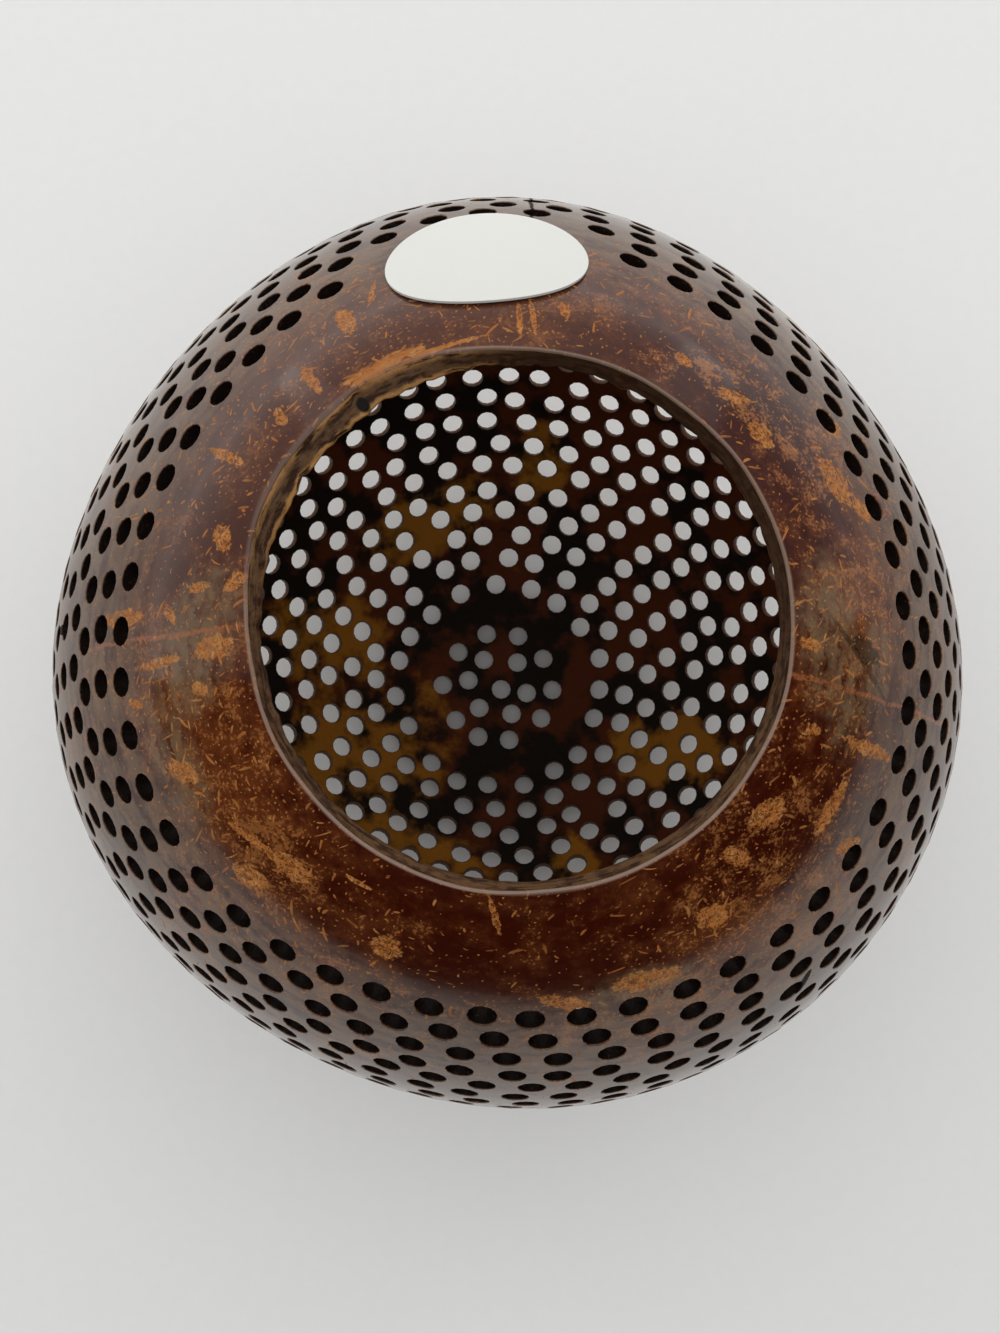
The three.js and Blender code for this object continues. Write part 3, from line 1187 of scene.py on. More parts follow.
@dataclass(frozen=True)
class ShellFinish:
    """The lacquered outside, the sawn lip, the drilled walls and the patchy inside.

    Attributes:
        name: the material's name.
        dark: the darkest of the bare skin.
        brown: its lighter places.
        painted_sheen: a painted reflection, the cool sheen tinted onto the skin on the side beside the
            label.
        taupe: the dull skin between the holes, and where it is scuffed.
        fibre: husk under the lacquer, in fine specks.
        husk: husk fibres.
        pale_husk: the palest of them.
        rim: a painted highlight, pale, on the mouth's rounded edge.
        cut_wall: the drilled walls.
        sawn: the sawn lip.
        olive: its lighter streaks.
        gold: fibres torn out of it.
        seam: the seams of the nut.
        crack_and_shade: cracks, stains and a scratch, and the painted shade in the gaps where holes are
            broken into each other and in the lip's notch.
        inner_dark: the darkest of the inside.
        inner_red: its red-brown places.
        inner_ochre: its ochre ones.
        husk_cover: how much husk covers at most.
        torn_husk: how strongly the fibres show where the lip is torn.
        grit_cover: how much the specks of husk on the drilled walls cover.
        lit_cover: how much painted light brightens the walls under the belly, near the table.
        shade_cover: how much darker the lip is on its dark side.
        stain_cover: how dark the stains are.
        skin_depth: the depths at which the outside's finish starts to give way and has gone.
        rounding: how much deeper the outside's finish goes round the lip's edge.
        inside_depths: how far short of the wall's thickness the inside starts and is whole.
        worn_lacquer: how much lacquer is left near the mouth.
        side_wear: how much of it is rubbed off at the two sides.
        bare_husk: how much of it is missing on husk and in cracks.
        skin_roughness: of the skin under the lacquer.
        cut_roughness: of the cut shell.
        uneven_roughness: how uneven both are.
        husk_roughness: how much rougher husk is.
        inside_roughness: how much rougher the inside is.
        lacquer_roughness: of the lacquer.
        cut_gloss: how glossy the cut shell is.
        skin_relief: how high the outside's fine relief is.
        cut_relief: how high the cut shell's is.
        flecks: the scattered fibres.
        husk_marks: the large patches of fibre.
        scuffs: where the skin is scuffed.
        seams: the nut's seams.
        cracks: its cracks.
        groove: a scratch.
        pit: the notch in the lip.
        golden_edges: where the mouth's edge is torn to the fibre.
        rich_places: where the fine specks are thickest.
        dark_spots: stains.
        breaks: where one hole is broken into the next; the gap is painted dark, as painted shade.
        ochre_zones: the inside's ochre places.
    """

    name: str = "coconut_shell"
    dark: Colour = (0.036, 0.0042, 0.0010)
    brown: Colour = (0.115, 0.030, 0.008)
    painted_sheen: Tint = Tint((0.072, 0.030, 0.020), 0.6)
    taupe: Colour = (0.175, 0.118, 0.066)
    fibre: Colour = (0.30, 0.115, 0.032)
    husk: Colour = (0.43, 0.155, 0.038)
    pale_husk: Colour = (0.57, 0.30, 0.11)
    rim: Colour = (0.26, 0.175, 0.130)
    cut_wall: Colour = (0.007, 0.0033, 0.0020)
    sawn: Colour = (0.030, 0.011, 0.004)
    olive: Colour = (0.105, 0.052, 0.022)
    gold: Tint = Tint((0.40, 0.20, 0.065), 0.9)
    seam: Tint = Tint((0.30, 0.095, 0.035), 0.7)
    crack_and_shade: Colour = (0.006, 0.003, 0.002)
    inner_dark: Colour = (0.020, 0.012, 0.008)
    inner_red: Colour = (0.13, 0.030, 0.008)
    inner_ochre: Tint = Tint((0.55, 0.21, 0.018), 0.85)
    husk_cover: float = 0.85
    torn_husk: float = 0.85
    grit_cover: float = 0.10
    lit_cover: float = 0.45
    shade_cover: float = 0.7
    stain_cover: float = 0.65
    skin_depth: tuple[float, float] = (0.15, 0.24)
    rounding: float = 0.25
    inside_depths: tuple[float, float] = (0.20, 0.10)
    worn_lacquer: float = 0.28
    side_wear: float = 0.28
    bare_husk: float = 0.85
    skin_roughness: float = 0.45
    cut_roughness: float = 0.48
    uneven_roughness: float = 0.12
    husk_roughness: float = 0.15
    inside_roughness: float = 0.20
    lacquer_roughness: float = 0.11
    cut_gloss: float = 0.15
    skin_relief: float = 0.25
    cut_relief: float = 0.3
    flecks: tuple[Strokes, ...] = (
        Strokes(1.0, 0.24, 0.15, 0.0),
        Strokes(2.0, 0.75, 0.19, 5.3),
        Strokes(3.7, 1.5, 0.22, 11.7),
    )
    husk_marks: tuple[Mark, ...] = (
        Mark(119.6, 40.6, 2.7, 1.2, 179),
        Mark(113.8, 43.1, 2.4, 0.35, 155),
        Mark(139.5, 35.3, 1.4, 0.7, 161),
        Mark(130.6, 36.3, 2.8, 0.7, 173),
        Mark(150.2, 38.9, 3.4, 0.6, 0),
        Mark(164.6, 34.0, 1.9, 1.1, 136),
        Mark(174.0, 35.6, 1.6, 0.6, -167),
        Mark(172.5, 30.8, 1.8, 0.9, -145),
        Mark(178.5, 47.9, 4.6, 1.0, 2),
        Mark(178.3, 39.6, 1.5, 0.6, 129),
        Mark(-174.7, 33.4, 2.7, 1.4, 5),
        Mark(-173.8, 41.5, 3.9, 0.6, 2),
        Mark(-168.0, 36.0, 1.2, 0.8, 163),
        Mark(-168.6, 46.2, 1.3, 0.6, 165),
        Mark(-156.2, 42.0, 2.7, 1.2, 151),
        Mark(-139.9, 38.3, 4.2, 0.5, 111),
        Mark(-132.7, 37.3, 2.6, 1.4, 104),
        Mark(-136.7, 42.7, 2.3, 1.5, 124),
        Mark(-112.4, 39.6, 1.7, 1.8, 63),
        Mark(-121.9, 33.5, 1.6, 0.3, 93),
        Mark(-95.1, 31.9, 2.4, 0.4, 18),
        Mark(-83.0, 44.2, 3.1, 1.2, 64),
        Mark(-70.0, 43.5, 4.0, 1.6, 78),
        Mark(-56.9, 39.2, 2.2, 1.7, 32),
        Mark(-47.7, 34.8, 2.3, 1.1, 23),
        Mark(-38.1, 33.8, 2.6, 1.5, 65),
        Mark(-30.1, 41.1, 3.2, 1.1, 88),
        Mark(-33.4, 47.1, 2.0, 1.2, 34),
        Mark(-19.3, 43.2, 5.0, 0.8, 1),
        Mark(-20.5, 33.9, 1.1, 0.7, 2),
        Mark(-4.8, 31.2, 1.8, 0.7, -7),
        Mark(24.9, 41.2, 3.3, 2.0, -81),
        Mark(19.0, 43.7, 1.9, 1.2, -46),
        Mark(33.2, 46.8, 1.9, 1.6, -48),
        Mark(38.4, 34.4, 1.9, 1.5, -80),
        Mark(46.9, 35.3, 2.2, 1.0, -53),
        Mark(58.2, 34.8, 1.2, 1.0, -114),
        Mark(90.3, 33.2, 2.6, 0.35, 1),
        Mark(87.7, 33.6, 2.8, 0.35, 7),
        Mark(82.2, 35.1, 1.3, 0.6, -156),
    )
    scuffs: tuple[Mark, ...] = (
        Mark(-176.0, 36.0, 10.0, 6.0, 60),
        Mark(-158.0, 43.0, 9.0, 5.0, 90),
        Mark(-2.0, 34.0, 10.0, 5.0, 90),
        Mark(-10.0, 40.0, 9.0, 5.0, 70),
        Mark(-70.0, 45.0, 8.0, 4.0, 78),
    )
    seams: tuple[Suture, ...] = (
        Suture(-178.0, 31.0, 56.0, 0.40),
        Suture(-11.5, 30.0, 62.0, 0.42),
    )
    cracks: tuple[Suture, ...] = (Suture(87.8, 55.0, 72.0, 0.35),)
    groove: Mark = Mark(-6.0, 39.0, 8.5, 0.5, -38)
    pit: Mark = Mark(126.2, 29.9, 0.95, 0.85, 0)
    golden_edges: tuple[Mark, ...] = (
        Mark(118.5, 31.5, 5.5, 1.3, 86),
        Mark(110.0, 30.6, 8.0, 0.4, 88),
    )
    rich_places: tuple[Mark, ...] = (
        Mark(-42.0, 38.0, 13.0, 7.0, 60),
        Mark(-132.0, 38.0, 9.0, 5.0, 100),
        Mark(-72.0, 47.0, 12.0, 3.5, 80),
        Mark(38.0, 38.0, 13.0, 6.0, -75),
    )
    dark_spots: tuple[Mark, ...] = (Mark(-4.5, 39.6, 2.9, 1.6, -23),)
    breaks: tuple[Mark, ...] = (
        Mark(178.5, 65.8, 2.6, 0.7, 0),
        Mark(-9.4, 65.0, 1.2, 0.8, 0),
        Mark(-50.0, 61.2, 2.4, 0.7, -40),
    )
    ochre_zones: tuple[Mark, ...] = (
        Mark(112.0, 148.0, 14.0, 7.0, 90),
        Mark(166.0, 147.0, 13.0, 9.0, 0),
        Mark(-149.0, 152.0, 18.0, 15.0, 0),
        Mark(-121.0, 147.0, 14.0, 8.0, 90),
        Mark(-20.0, 147.0, 12.0, 8.0, 0),
        Mark(-68.0, 146.0, 6.0, 4.0, 0),
        Mark(80.0, 140.0, 10.0, 5.0, 0),
    )

    def material(self, shape: NutShape, place: Vector) -> bpy.types.Material:
        """Return the material.

        Args:
            shape: the nut.
            place: where the belly's middle is.

        Returns:
            The new material, for the whole shell.
        """
        paint = NutPaint(self.name, shape, place)
        start, gone = self.skin_depth
        outside = paint.ramp(paint.depth - paint.near_mouth * self.rounding, gone, start)
        shaders = {0: outside, 1: self.cut(paint), 2: self.skin(paint)}
        return paint.finish(paint.node("ShaderNodeMixShader", {}, shaders))

    def uneven(self, paint: NutPaint) -> Value:
        """Return how much rougher or smoother the shell is than it is on the whole."""
        return (paint.grain(Grain.RAGGED) - 0.5) * self.uneven_roughness

    def skin(self, paint: NutPaint) -> Value:
        """Return the shader of the lacquered outside.

        The lacquer is thin near the mouth and at the two sides, and whole on the worn edge.

        Args:
            paint: the material.

        Returns:
            The shader.
        """
        colour, bare = self.outside(paint)
        height = paint.grain(Grain.RAGGED) * 0.10 + paint.grain(Grain.DENTS) * 0.9
        edge = paint.ramp(paint.depth, 0.02, 0.08) * paint.near_mouth
        lacquer = paint.down(32.0, 44.0) * (1 - self.worn_lacquer) + self.worn_lacquer
        sides = paint.ramp(abs(paint.facing(95.0)), 0.6, 0.2)
        lacquer = paint.largest(lacquer, edge) * (1 - sides * self.side_wear)
        values = {
            "Base Color": colour,
            "Roughness": self.skin_roughness + bare * self.husk_roughness + self.uneven(paint),
            "Specular IOR Level": 0.0,
            "Coat Weight": (1.0 - bare * self.bare_husk) * lacquer,
            "Coat Roughness": self.lacquer_roughness,
        }
        return paint.shaded(height, self.skin_relief * MM, values)

    def cut(self, paint: NutPaint) -> Value:
        """Shade the sawn lip, the drilled walls and the inside.

        Args:
            paint: the material.

        Returns:
            The shader.
        """
        wall = paint.shape.wall / MM
        start, whole = self.inside_depths
        inside = paint.ramp(paint.depth, wall - start, wall - whole)
        walls = paint.mix(paint.near_mouth, self.drilled(paint), self.sawn_lip(paint))
        rough = self.cut_roughness + inside * self.inside_roughness + self.uneven(paint)
        values = {
            "Base Color": paint.mix(inside, walls, self.inside(paint)),
            "Roughness": rough,
            "Specular IOR Level": self.cut_gloss,
        }
        return paint.shaded(paint.grain(Grain.RAGGED), self.cut_relief * MM, values)

    def outside(self, paint: NutPaint) -> tuple[Value, Value]:
        """Return the outside's colour, with a painted highlight on the mouth's edge, and how bare of
        lacquer it is.

        Args:
            paint: the material.

        Returns:
            The colour, and a value from 0 where it is whole to 1 where it is bare.
        """
        # The front below the mouth faces away from the light: it has fewer fibres, and its tone is
        # darkened with painted shade.
        shaded_front = paint.ramp(paint.facing(-97.0), 0.70, 0.97) * paint.down(46.0, 40.0)
        thick = paint.ramp(paint.grain(Grain.CLOUD), 0.40, 0.68)
        plenty = (paint.down(62.0, 40.0) * 0.32 + thick * 0.42) * (1 - shaded_front * 0.35)
        torn = self.torn_edge(paint) * self.torn_husk
        husk = paint.largest(self.scattered(paint, plenty), self.patches(paint), torn)
        # Painted shade: where holes are broken into each other, the gap is painted dark rather than cut.
        gaps_painted_dark = paint.frayed(self.breaks, 1.2, -0.1, 0.15)
        cracks = paint.lines(self.cracks)
        groove = paint.ramp(paint.mark(self.groove), 0.0, 0.7)
        colour = self.ground(paint, plenty, shaded_front)
        pale = paint.mix(paint.ramp(paint.grain(Grain.RAGGED), 0.42, 0.85), self.husk, self.pale_husk)
        colour = paint.mix(husk * self.husk_cover, colour, pale)
        colour = paint.mix(paint.largest(cracks, groove * 0.5, gaps_painted_dark), colour, self.crack_and_shade)
        # Painted highlight: the mouth's rounded edge is painted pale, less so on the torn side.
        torn_side = paint.ramp(paint.facing(self.pit.azimuth + 14.0), 0.75, 0.92)
        rim = paint.ramp(paint.depth, 0.0, 0.07) * paint.near_mouth * (0.7 - torn_side * 0.5)
        return paint.mix(rim, colour, self.rim), paint.largest(husk, cracks, gaps_painted_dark)

    def scattered(self, paint: NutPaint, plenty: Value) -> Value:
        """Return the small scattered fibres.

        Args:
            paint: the material.
            plenty: the share of them that shows at each point.

        Returns:
            How strongly a fibre shows.
        """
        husk: Number = 0.0
        for layer in self.flecks:
            inside, chance = paint.strokes(layer)
            kept = paint.ramp(chance - plenty, 0.02, -0.02)
            strength = 0.45 + chance / (plenty + 0.01) * 0.5
            husk = paint.largest(husk, paint.ramp(inside, 0.0, 0.5) * kept * strength)
        return husk

    def patches(self, paint: NutPaint) -> Value:
        """Fill the large patches with fibre and its curled strands.

        Args:
            paint: the material.

        Returns:
            How strongly fibre shows.
        """
        marks = paint.marks(self.husk_marks)
        fibres = paint.grain(Grain.FIBRES)
        strands = paint.ramp(abs(paint.grain(Grain.CURLS) - 0.5), 0.085, 0.025)
        torn = marks + (paint.grain(Grain.RAGGED) - 0.5) * 2.8 + (fibres - 0.5)
        filled = paint.ramp(torn, 0.0, 0.5) * (0.20 + paint.ramp(fibres, 0.42, 0.60) * 0.28)
        filled = filled + strands * paint.ramp(torn, -0.3, 0.2) * 0.7
        edge = paint.ramp(abs(torn - 0.30), 0.28, 0.05) * paint.ramp(fibres, 0.35, 0.55)
        return paint.largest(filled, edge * 0.8) * paint.ramp(marks, -0.8, -0.2)

    def torn_edge(self, paint: NutPaint) -> Value:
        """Return how strongly fibre shows along the mouth, where its edge is torn."""
        streaks = paint.streaks(paint.polar * 120.0 + paint.grain(Grain.RAGGED) * 4.0)
        return paint.frayed(self.golden_edges, 2.4, 0.0, 0.5) * paint.ramp(streaks, 0.34, 0.54)

    def ground(self, paint: NutPaint, plenty: Value, shaded_front: Value) -> Value:
        """Return the skin's colour without its husk, with a painted sheen on one side and painted shade on
        the front.

        Args:
            paint: the material.
            plenty: how thickly the fibres lie.
            shaded_front: 1 on the smooth front below the mouth, whose tone is darkened with painted shade.

        Returns:
            The colour.
        """
        fibres, mottled = paint.grain(Grain.FIBRES), paint.grain(Grain.MOTTLED)
        brushed = paint.streaks(paint.polar * 45.0 + paint.grain(Grain.RAGGED) * 2.0, 5.0)
        tone = paint.grain(Grain.CLOUD) * 0.35 + mottled * 0.45 + brushed * 0.20
        # Painted shade: the tone is darker on the front.
        tone = paint.ramp(tone, 0.42, 0.60) * (1 - shaded_front * 0.32)
        rich = paint.ramp(paint.marks(self.rich_places), -0.6, 1.0)
        specks = mottled + (fibres - 0.5) * 0.55 + plenty * 0.10 + rich * 0.085 - shaded_front * 0.035
        # Painted reflection: a cool sheen tint on the side towards the label, where the specks are also
        # fainter.
        sheen_side = paint.ramp(paint.facing(125.0), 0.2, 0.9)
        scuffed = paint.frayed(self.scuffs, 1.6, -0.3, 0.9) * 0.65
        dull = paint.largest(scuffed, paint.down(39.0, 52.0) * 0.52)
        colour = paint.mix(tone, self.dark, self.brown)
        colour = paint.tinted(sheen_side, colour, self.painted_sheen)
        colour = paint.mix(paint.ramp(specks, 0.60, 0.74) * (0.60 - sheen_side * 0.35), colour, self.fibre)
        colour = paint.mix(dull * paint.ramp(brushed, 0.3, 0.6), colour, self.taupe)
        stains = paint.frayed(self.dark_spots, 3.0, 0.1, 0.5) * self.stain_cover
        colour = paint.mix(stains, colour, self.crack_and_shade)
        return paint.tinted(paint.lines(self.seams) * paint.ramp(fibres, 0.34, 0.56), colour, self.seam)

    def drilled(self, paint: NutPaint) -> Value:
        """Colour the drilled walls, with painted light on those under the belly.

        Args:
            paint: the material.

        Returns:
            The colour.
        """
        grit = paint.ramp(paint.grain(Grain.GRIT), 0.62, 0.74) * self.grit_cover
        walls = paint.mix(grit, self.cut_wall, self.husk)
        # Painted light: the walls under the belly are lighter, as if lit from outside near the table.
        return paint.mix(paint.down(95.0, 125.0) * self.lit_cover, walls, self.fibre)

    def sawn_lip(self, paint: NutPaint) -> Value:
        """Colour the sawn lip: streaked, darker on one side and torn on the other, with painted shade in
        its notch.

        Args:
            paint: the material.

        Returns:
            The colour.
        """
        fray = paint.grain(Grain.RAGGED) - 0.5
        grain = paint.streaks(paint.depth * 2.2)
        layer = paint.depth * (MM / paint.shape.wall) + fray * 0.25
        edges = paint.largest(paint.ramp(layer, 0.45, 0.15), paint.ramp(layer, 0.70, 0.85))
        torn = paint.ramp(paint.facing(self.pit.azimuth + 5.0), 0.72, 0.95) * paint.ramp(grain, 0.38, 0.52)
        shade = paint.ramp(paint.facing(45.0), 0.3, 0.8) * self.shade_cover
        colour = paint.mix(paint.ramp(grain + fray * 0.5, 0.36, 0.60), self.sawn, self.olive)
        colour = paint.tinted(torn * edges, paint.mix(shade, colour, self.sawn), self.gold)
        # Painted shade: the notch in the lip is painted dark.
        return paint.mix(paint.ramp(paint.mark(self.pit), 0.0, 0.6), colour, self.crack_and_shade)

    def inside(self, paint: NutPaint) -> Value:
        """Colour the inside: dark, with red-brown and ochre places.

        Args:
            paint: the material.

        Returns:
            The colour.
        """
        blotches = paint.grain(Grain.BLOTCHES)
        ochre = paint.frayed(self.ochre_zones, 5.0, 0.0, 0.9, Grain.BLOTCHES)
        red = paint.ramp(blotches + (paint.grain(Grain.CLOUD) - 0.5) * 0.8, 0.42, 0.60)
        return paint.tinted(ochre, paint.mix(red, self.inner_dark, self.inner_red), self.inner_ochre)


@dataclass(frozen=True)
class PlainFinish:
    """A matt finish of one colour with a faint tooth.

    Attributes:
        name: the material's name.
        colour: linear red, green and blue.
        roughness: how matt it is.
        grain: how many grains there are in a millimetre.
        tooth: how high they are, in millimetres.
        worn: the share of the colour that its worn grains keep.
    """

    name: str
    colour: Colour
    roughness: float
    grain: float
    tooth: float
    worn: float = 0.96

    def material(self) -> bpy.types.Material:
        """Return a new material with this finish."""
        paint = Paint(self.name)
        spot = paint.node("ShaderNodeTexCoord", output="Object")
        fine = paint.noise(paint.scaled(spot, 1 / MM), self.grain, 3.0, 0.6)
        darker = tuple(channel * self.worn for channel in self.colour)
        values = {"Base Color": paint.mix(fine, darker, self.colour), "Roughness": self.roughness}
        return paint.finish(paint.shaded(fine, self.tooth * MM, values))


# The pieces.


@dataclass
class CoconutShell:
    """The shell: a blank with its mouth, lip, inside and flat, and the holes through it.

    Sizes are metres and angles are degrees.

    Attributes:
        shape: the nut.
        place: where the belly's middle is.
        label: the label, under which there are no holes.
        holes: where the holes are.
        drilling: how they are drilled.
        finish: the shell's finish.
        coarse: how many points there are round the nut.
        fine: how many there are near the mouth.
        cell: how long the blank's faces are, down the nut.
        fine_cell: how long they are near the mouth.
        fine_polar: where the fine faces end, down from the top.
        flat_rings: the rings of the flat, as shares of its radius.
        flat_edge: from the flat's edge to the first ring above it.
        inner_rounding: the rounding of the lip's inner edge.
        inner_rows: how many fine rows there are inside the mouth.
        saw_wander: how far the sawn edge strays.
        saw_lobes: how many times round the mouth it does so, in each of its waves.
        saw_seed: picks those waves' places.
        chipping: how deep its chips are.
        chip_lobes: how many there are round the mouth, in each of their waves.
        chip_seed: picks those waves' places.
        smooth_share: how much of the chipping is left on its smooth side.
        pit_depth: how deep the notch in the lip is.
        pit_level: how deep in the wall its middle is, as a share of the wall.
        pit_spread: how wide it is, as a share of its mark.
        bevel: how much wider the mouth's outer edge is where the lip is torn.
        bevel_azimuth: where it is widest.
        bevel_spread: how far to each side of that it goes.
        drill_lean: how far the lower holes lean towards straight down.
        lean_from: where the holes start to lean, down from the top.
        lean_to: where they lean in full.
        skin: how near the outside or the inside a point lies that is smoothed with it.
        level_skin: the same for the flat.
        lip_share: how much of the lip's outer rounding counts as the lip.
        flat_share: how much of the flat's radius counts as the flat.
    """

    shape: NutShape
    place: Vector
    label: LabelSpot = LabelSpot()
    holes: HolePattern = field(default_factory=HolePattern)
    drilling: Drilling = field(default_factory=Drilling)
    finish: ShellFinish = field(default_factory=ShellFinish)
    coarse: int = 72
    fine: int = 216
    cell: float = 5.4 * MM
    fine_cell: float = 1.6 * MM
    fine_polar: float = 43.0
    flat_rings: tuple[float, ...] = (0.5, 0.97, 1.0)
    flat_edge: float = 0.4 * MM
    inner_rounding: float = 0.35 * MM
    inner_rows: int = 2
    saw_wander: float = 0.12 * MM
    saw_lobes: tuple[int, ...] = (3, 5, 8, 13)
    saw_seed: int = 3
    chipping: float = 0.22 * MM
    chip_lobes: tuple[int, ...] = (17, 29, 43, 61, 83)
    chip_seed: int = 4
    smooth_share: float = 0.1
    pit_depth: float = 0.8 * MM
    pit_level: float = 0.45
    pit_spread: float = 0.65
    bevel: float = 1.9 * MM
    bevel_azimuth: float = 136.0
    bevel_spread: float = 34.0
    drill_lean: float = 1.0
    lean_from: float = 95.0
    lean_to: float = 130.0
    skin: float = 0.16 * MM
    level_skin: float = 0.05 * MM
    lip_share: float = 0.98
    flat_share: float = 0.985

    def build(self) -> bpy.types.Object:
        """Build the drilled shell and put it in the CAD shell's place.

        Returns:
            The shell.
        """
        blank = self.blank()
        ways = self.holes.ways(self.shape, self.label)
        spots, outward, lean = self.hole_places(ways)
        material = self.finish.material(self.shape, self.place)
        mesh = self.drilled(blank, spots, outward, lean, material)
        bpy.data.objects.remove(blank)
        self.smooth(mesh, spots, outward, lean)
        shell = linked("shell", mesh)
        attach(shell, "root")
        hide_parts("coconut_shell")
        mesh.calc_loop_triangles()
        LOG.info("shell: %d triangles, %d holes", len(mesh.loop_triangles), len(ways))
        return shell

    def blank(self) -> bpy.types.Object:
        """Make the shell before it is drilled, from the flat's middle up and back down inside.

        Returns:
            The blank, linked to the scene.
        """
        shape = self.shape
        surface = Surface()
        surface.ring(np.array([(0, 0, -shape.flat_depth)]))
        coarse, fine = circle(self.coarse), circle(self.fine)
        for share in self.flat_rings:
            reach = shape.flat_radius * share
            depth = -shape.flat_depth + 0 * coarse
            ring = np.stack((reach * np.cos(coarse), reach * np.sin(coarse), depth), axis=-1)
            surface.ring(ring)
        near_flat = shape.flat_polar - self.flat_edge / shape.belly_radius
        fine_start = math.radians(self.fine_polar)
        for polar in steps(near_flat, fine_start, self.cell / shape.belly_radius):
            surface.ring(shape.points(polar, coarse, 0))
        lip_edge = shape.mouth_radius + shape.lip_round + self.bevel_at(fine)
        edge = shape.ring_at_radius(lip_edge, fine, 0)
        count = math.ceil((fine_start - edge.min()) * shape.belly_radius / self.fine_cell)
        for step in range(1, count + 1):
            polar = fine_start + (edge - fine_start) * (step / count)
            surface.ring(shape.points(polar, fine, 0))
        for ring in self.lip(fine):
            surface.ring(ring)
        inner_edge = shape.ring_at_radius(self.inner_radius, fine, shape.wall)
        for step in range(1, self.inner_rows + 1):
            polar = inner_edge + step * self.fine_cell / shape.belly_radius
            surface.ring(shape.points(polar, fine, shape.wall))
        inner_start = inner_edge.mean() + 2 * self.inner_rows * self.fine_cell / shape.belly_radius
        for polar in steps(inner_start, math.pi, self.cell / shape.belly_radius)[:-1]:
            surface.ring(shape.points(polar, coarse, shape.wall))
        surface.ring(np.array([shape.points(math.pi, 0.0, shape.wall)]))
        return surface.object("shell_blank", self.place)

    @property
    def inner_radius(self) -> float:
        """Return how far the lip's inner edge is from the axis, past its rounding."""
        return self.shape.mouth_radius - self.shape.lip_draft + self.inner_rounding

    def lip(self, azimuth: np.ndarray) -> list[np.ndarray]:
        """Return the rings of the sawn lip, from its outer rounding to its inner one.

        Args:
            azimuth: where round the mouth their points are, in radians.

        Returns:
            The rings, with the belly's middle as their origin.
        """
        shape = self.shape
        pit = self.finish.pit
        section = self.lip_section()
        sawn = uneven_line(azimuth, self.saw_lobes, self.saw_seed) * self.saw_wander
        chips = uneven_line(azimuth, self.chip_lobes, self.chip_seed) * self.chipping
        bevel = self.bevel_at(azimuth)
        turn = azimuth - math.radians(pit.azimuth)
        chips = chips * (self.smooth_share + (1 - self.smooth_share) * (1 + np.cos(turn)) / 2)
        rings = []
        for out, depth in section:
            share = depth / shape.wall
            aside = np.hypot(turn * shape.mouth_radius, depth - shape.wall * self.pit_level)
            notch = self.pit_depth * np.exp(-((aside / (pit.length * MM * self.pit_spread)) ** 2))
            uneven = (sawn + bevel) * (1 - share) + chips * share + notch
            polar = shape.ring_at_radius(shape.mouth_radius + out + uneven, azimuth, depth)
            rings.append(shape.points(polar, azimuth, depth))
        return rings

    def lip_section(self) -> list[tuple[float, float]]:
        """Work out the lip's section.

        Returns:
            How far out of the mouth's radius it is at each depth in the wall.
        """
        lip_round, inner = self.shape.lip_round, self.inner_rounding
        section: list[tuple[float, float]] = []
        for turn in (math.pi / 8, math.pi / 4, math.pi * 3 / 8, math.pi / 2):
            section.append((lip_round * (1 - math.sin(turn)), lip_round * (1 - math.cos(turn))))
        for share in (0.25, 0.5, 0.75, 1.0):
            depth = lip_round + (self.shape.wall - inner - lip_round) * share
            section.append((-self.draft_at(depth), depth))
        for turn in (math.pi / 4, math.pi / 2):
            depth = self.shape.wall - inner * (1 - math.sin(turn))
            section.append((inner * (1 - math.cos(turn)) - self.draft_at(depth), depth))
        return section

    def draft_at(self, depth: float) -> float:
        """Return how much nearer the axis the sawn face is at a depth in the wall."""
        shape = self.shape
        return shape.lip_draft * (depth - shape.lip_round) / (shape.wall - shape.lip_round)

    def bevel_at(self, azimuth: np.ndarray) -> np.ndarray:
        """Work out how much wider the mouth's outer edge is where the lip is torn.

        Args:
            azimuth: angles round from +X, in radians.

        Returns:
            The extra width at each of them.
        """
        turn = azimuth - math.radians(self.bevel_azimuth)
        aside = np.arctan2(np.sin(turn), np.cos(turn)) / math.radians(self.bevel_spread)
        return self.bevel * np.exp(-(aside**4))

    def hole_places(self, ways: np.ndarray) -> tuple[np.ndarray, np.ndarray, np.ndarray]:
        """Return where the holes come out, the way out there, and how each hole leans from it.

        The holes are square to the surface, but under the belly they lean towards straight down.

        Args:
            ways: unit vectors to the holes.

        Returns:
            The places, from the belly's middle, the unit vectors out, and what is added to those
            to get each hole's own way.
        """
        shape = self.shape
        spots = ways * shape.outside_along(ways)[:, None]
        outward = shape.normals(ways)
        on_flat = np.arccos(ways[:, 2]) > shape.flat_polar
        spots[on_flat] *= (-shape.flat_depth / spots[on_flat, 2])[:, None]
        outward[on_flat] = (0, 0, -1)
        start, end = math.radians(self.lean_from), math.radians(self.lean_to)
        share = np.clip((np.arccos(ways[:, 2]) - start) / (end - start), 0, 1)
        leaning = self.drill_lean * share * share * (3 - 2 * share)
        drilled = unit(outward - leaning[:, None] * np.array((0.0, 0.0, 1.0)))
        lean = drilled / np.sum(drilled * outward, axis=1)[:, None] - outward
        return spots, outward, lean

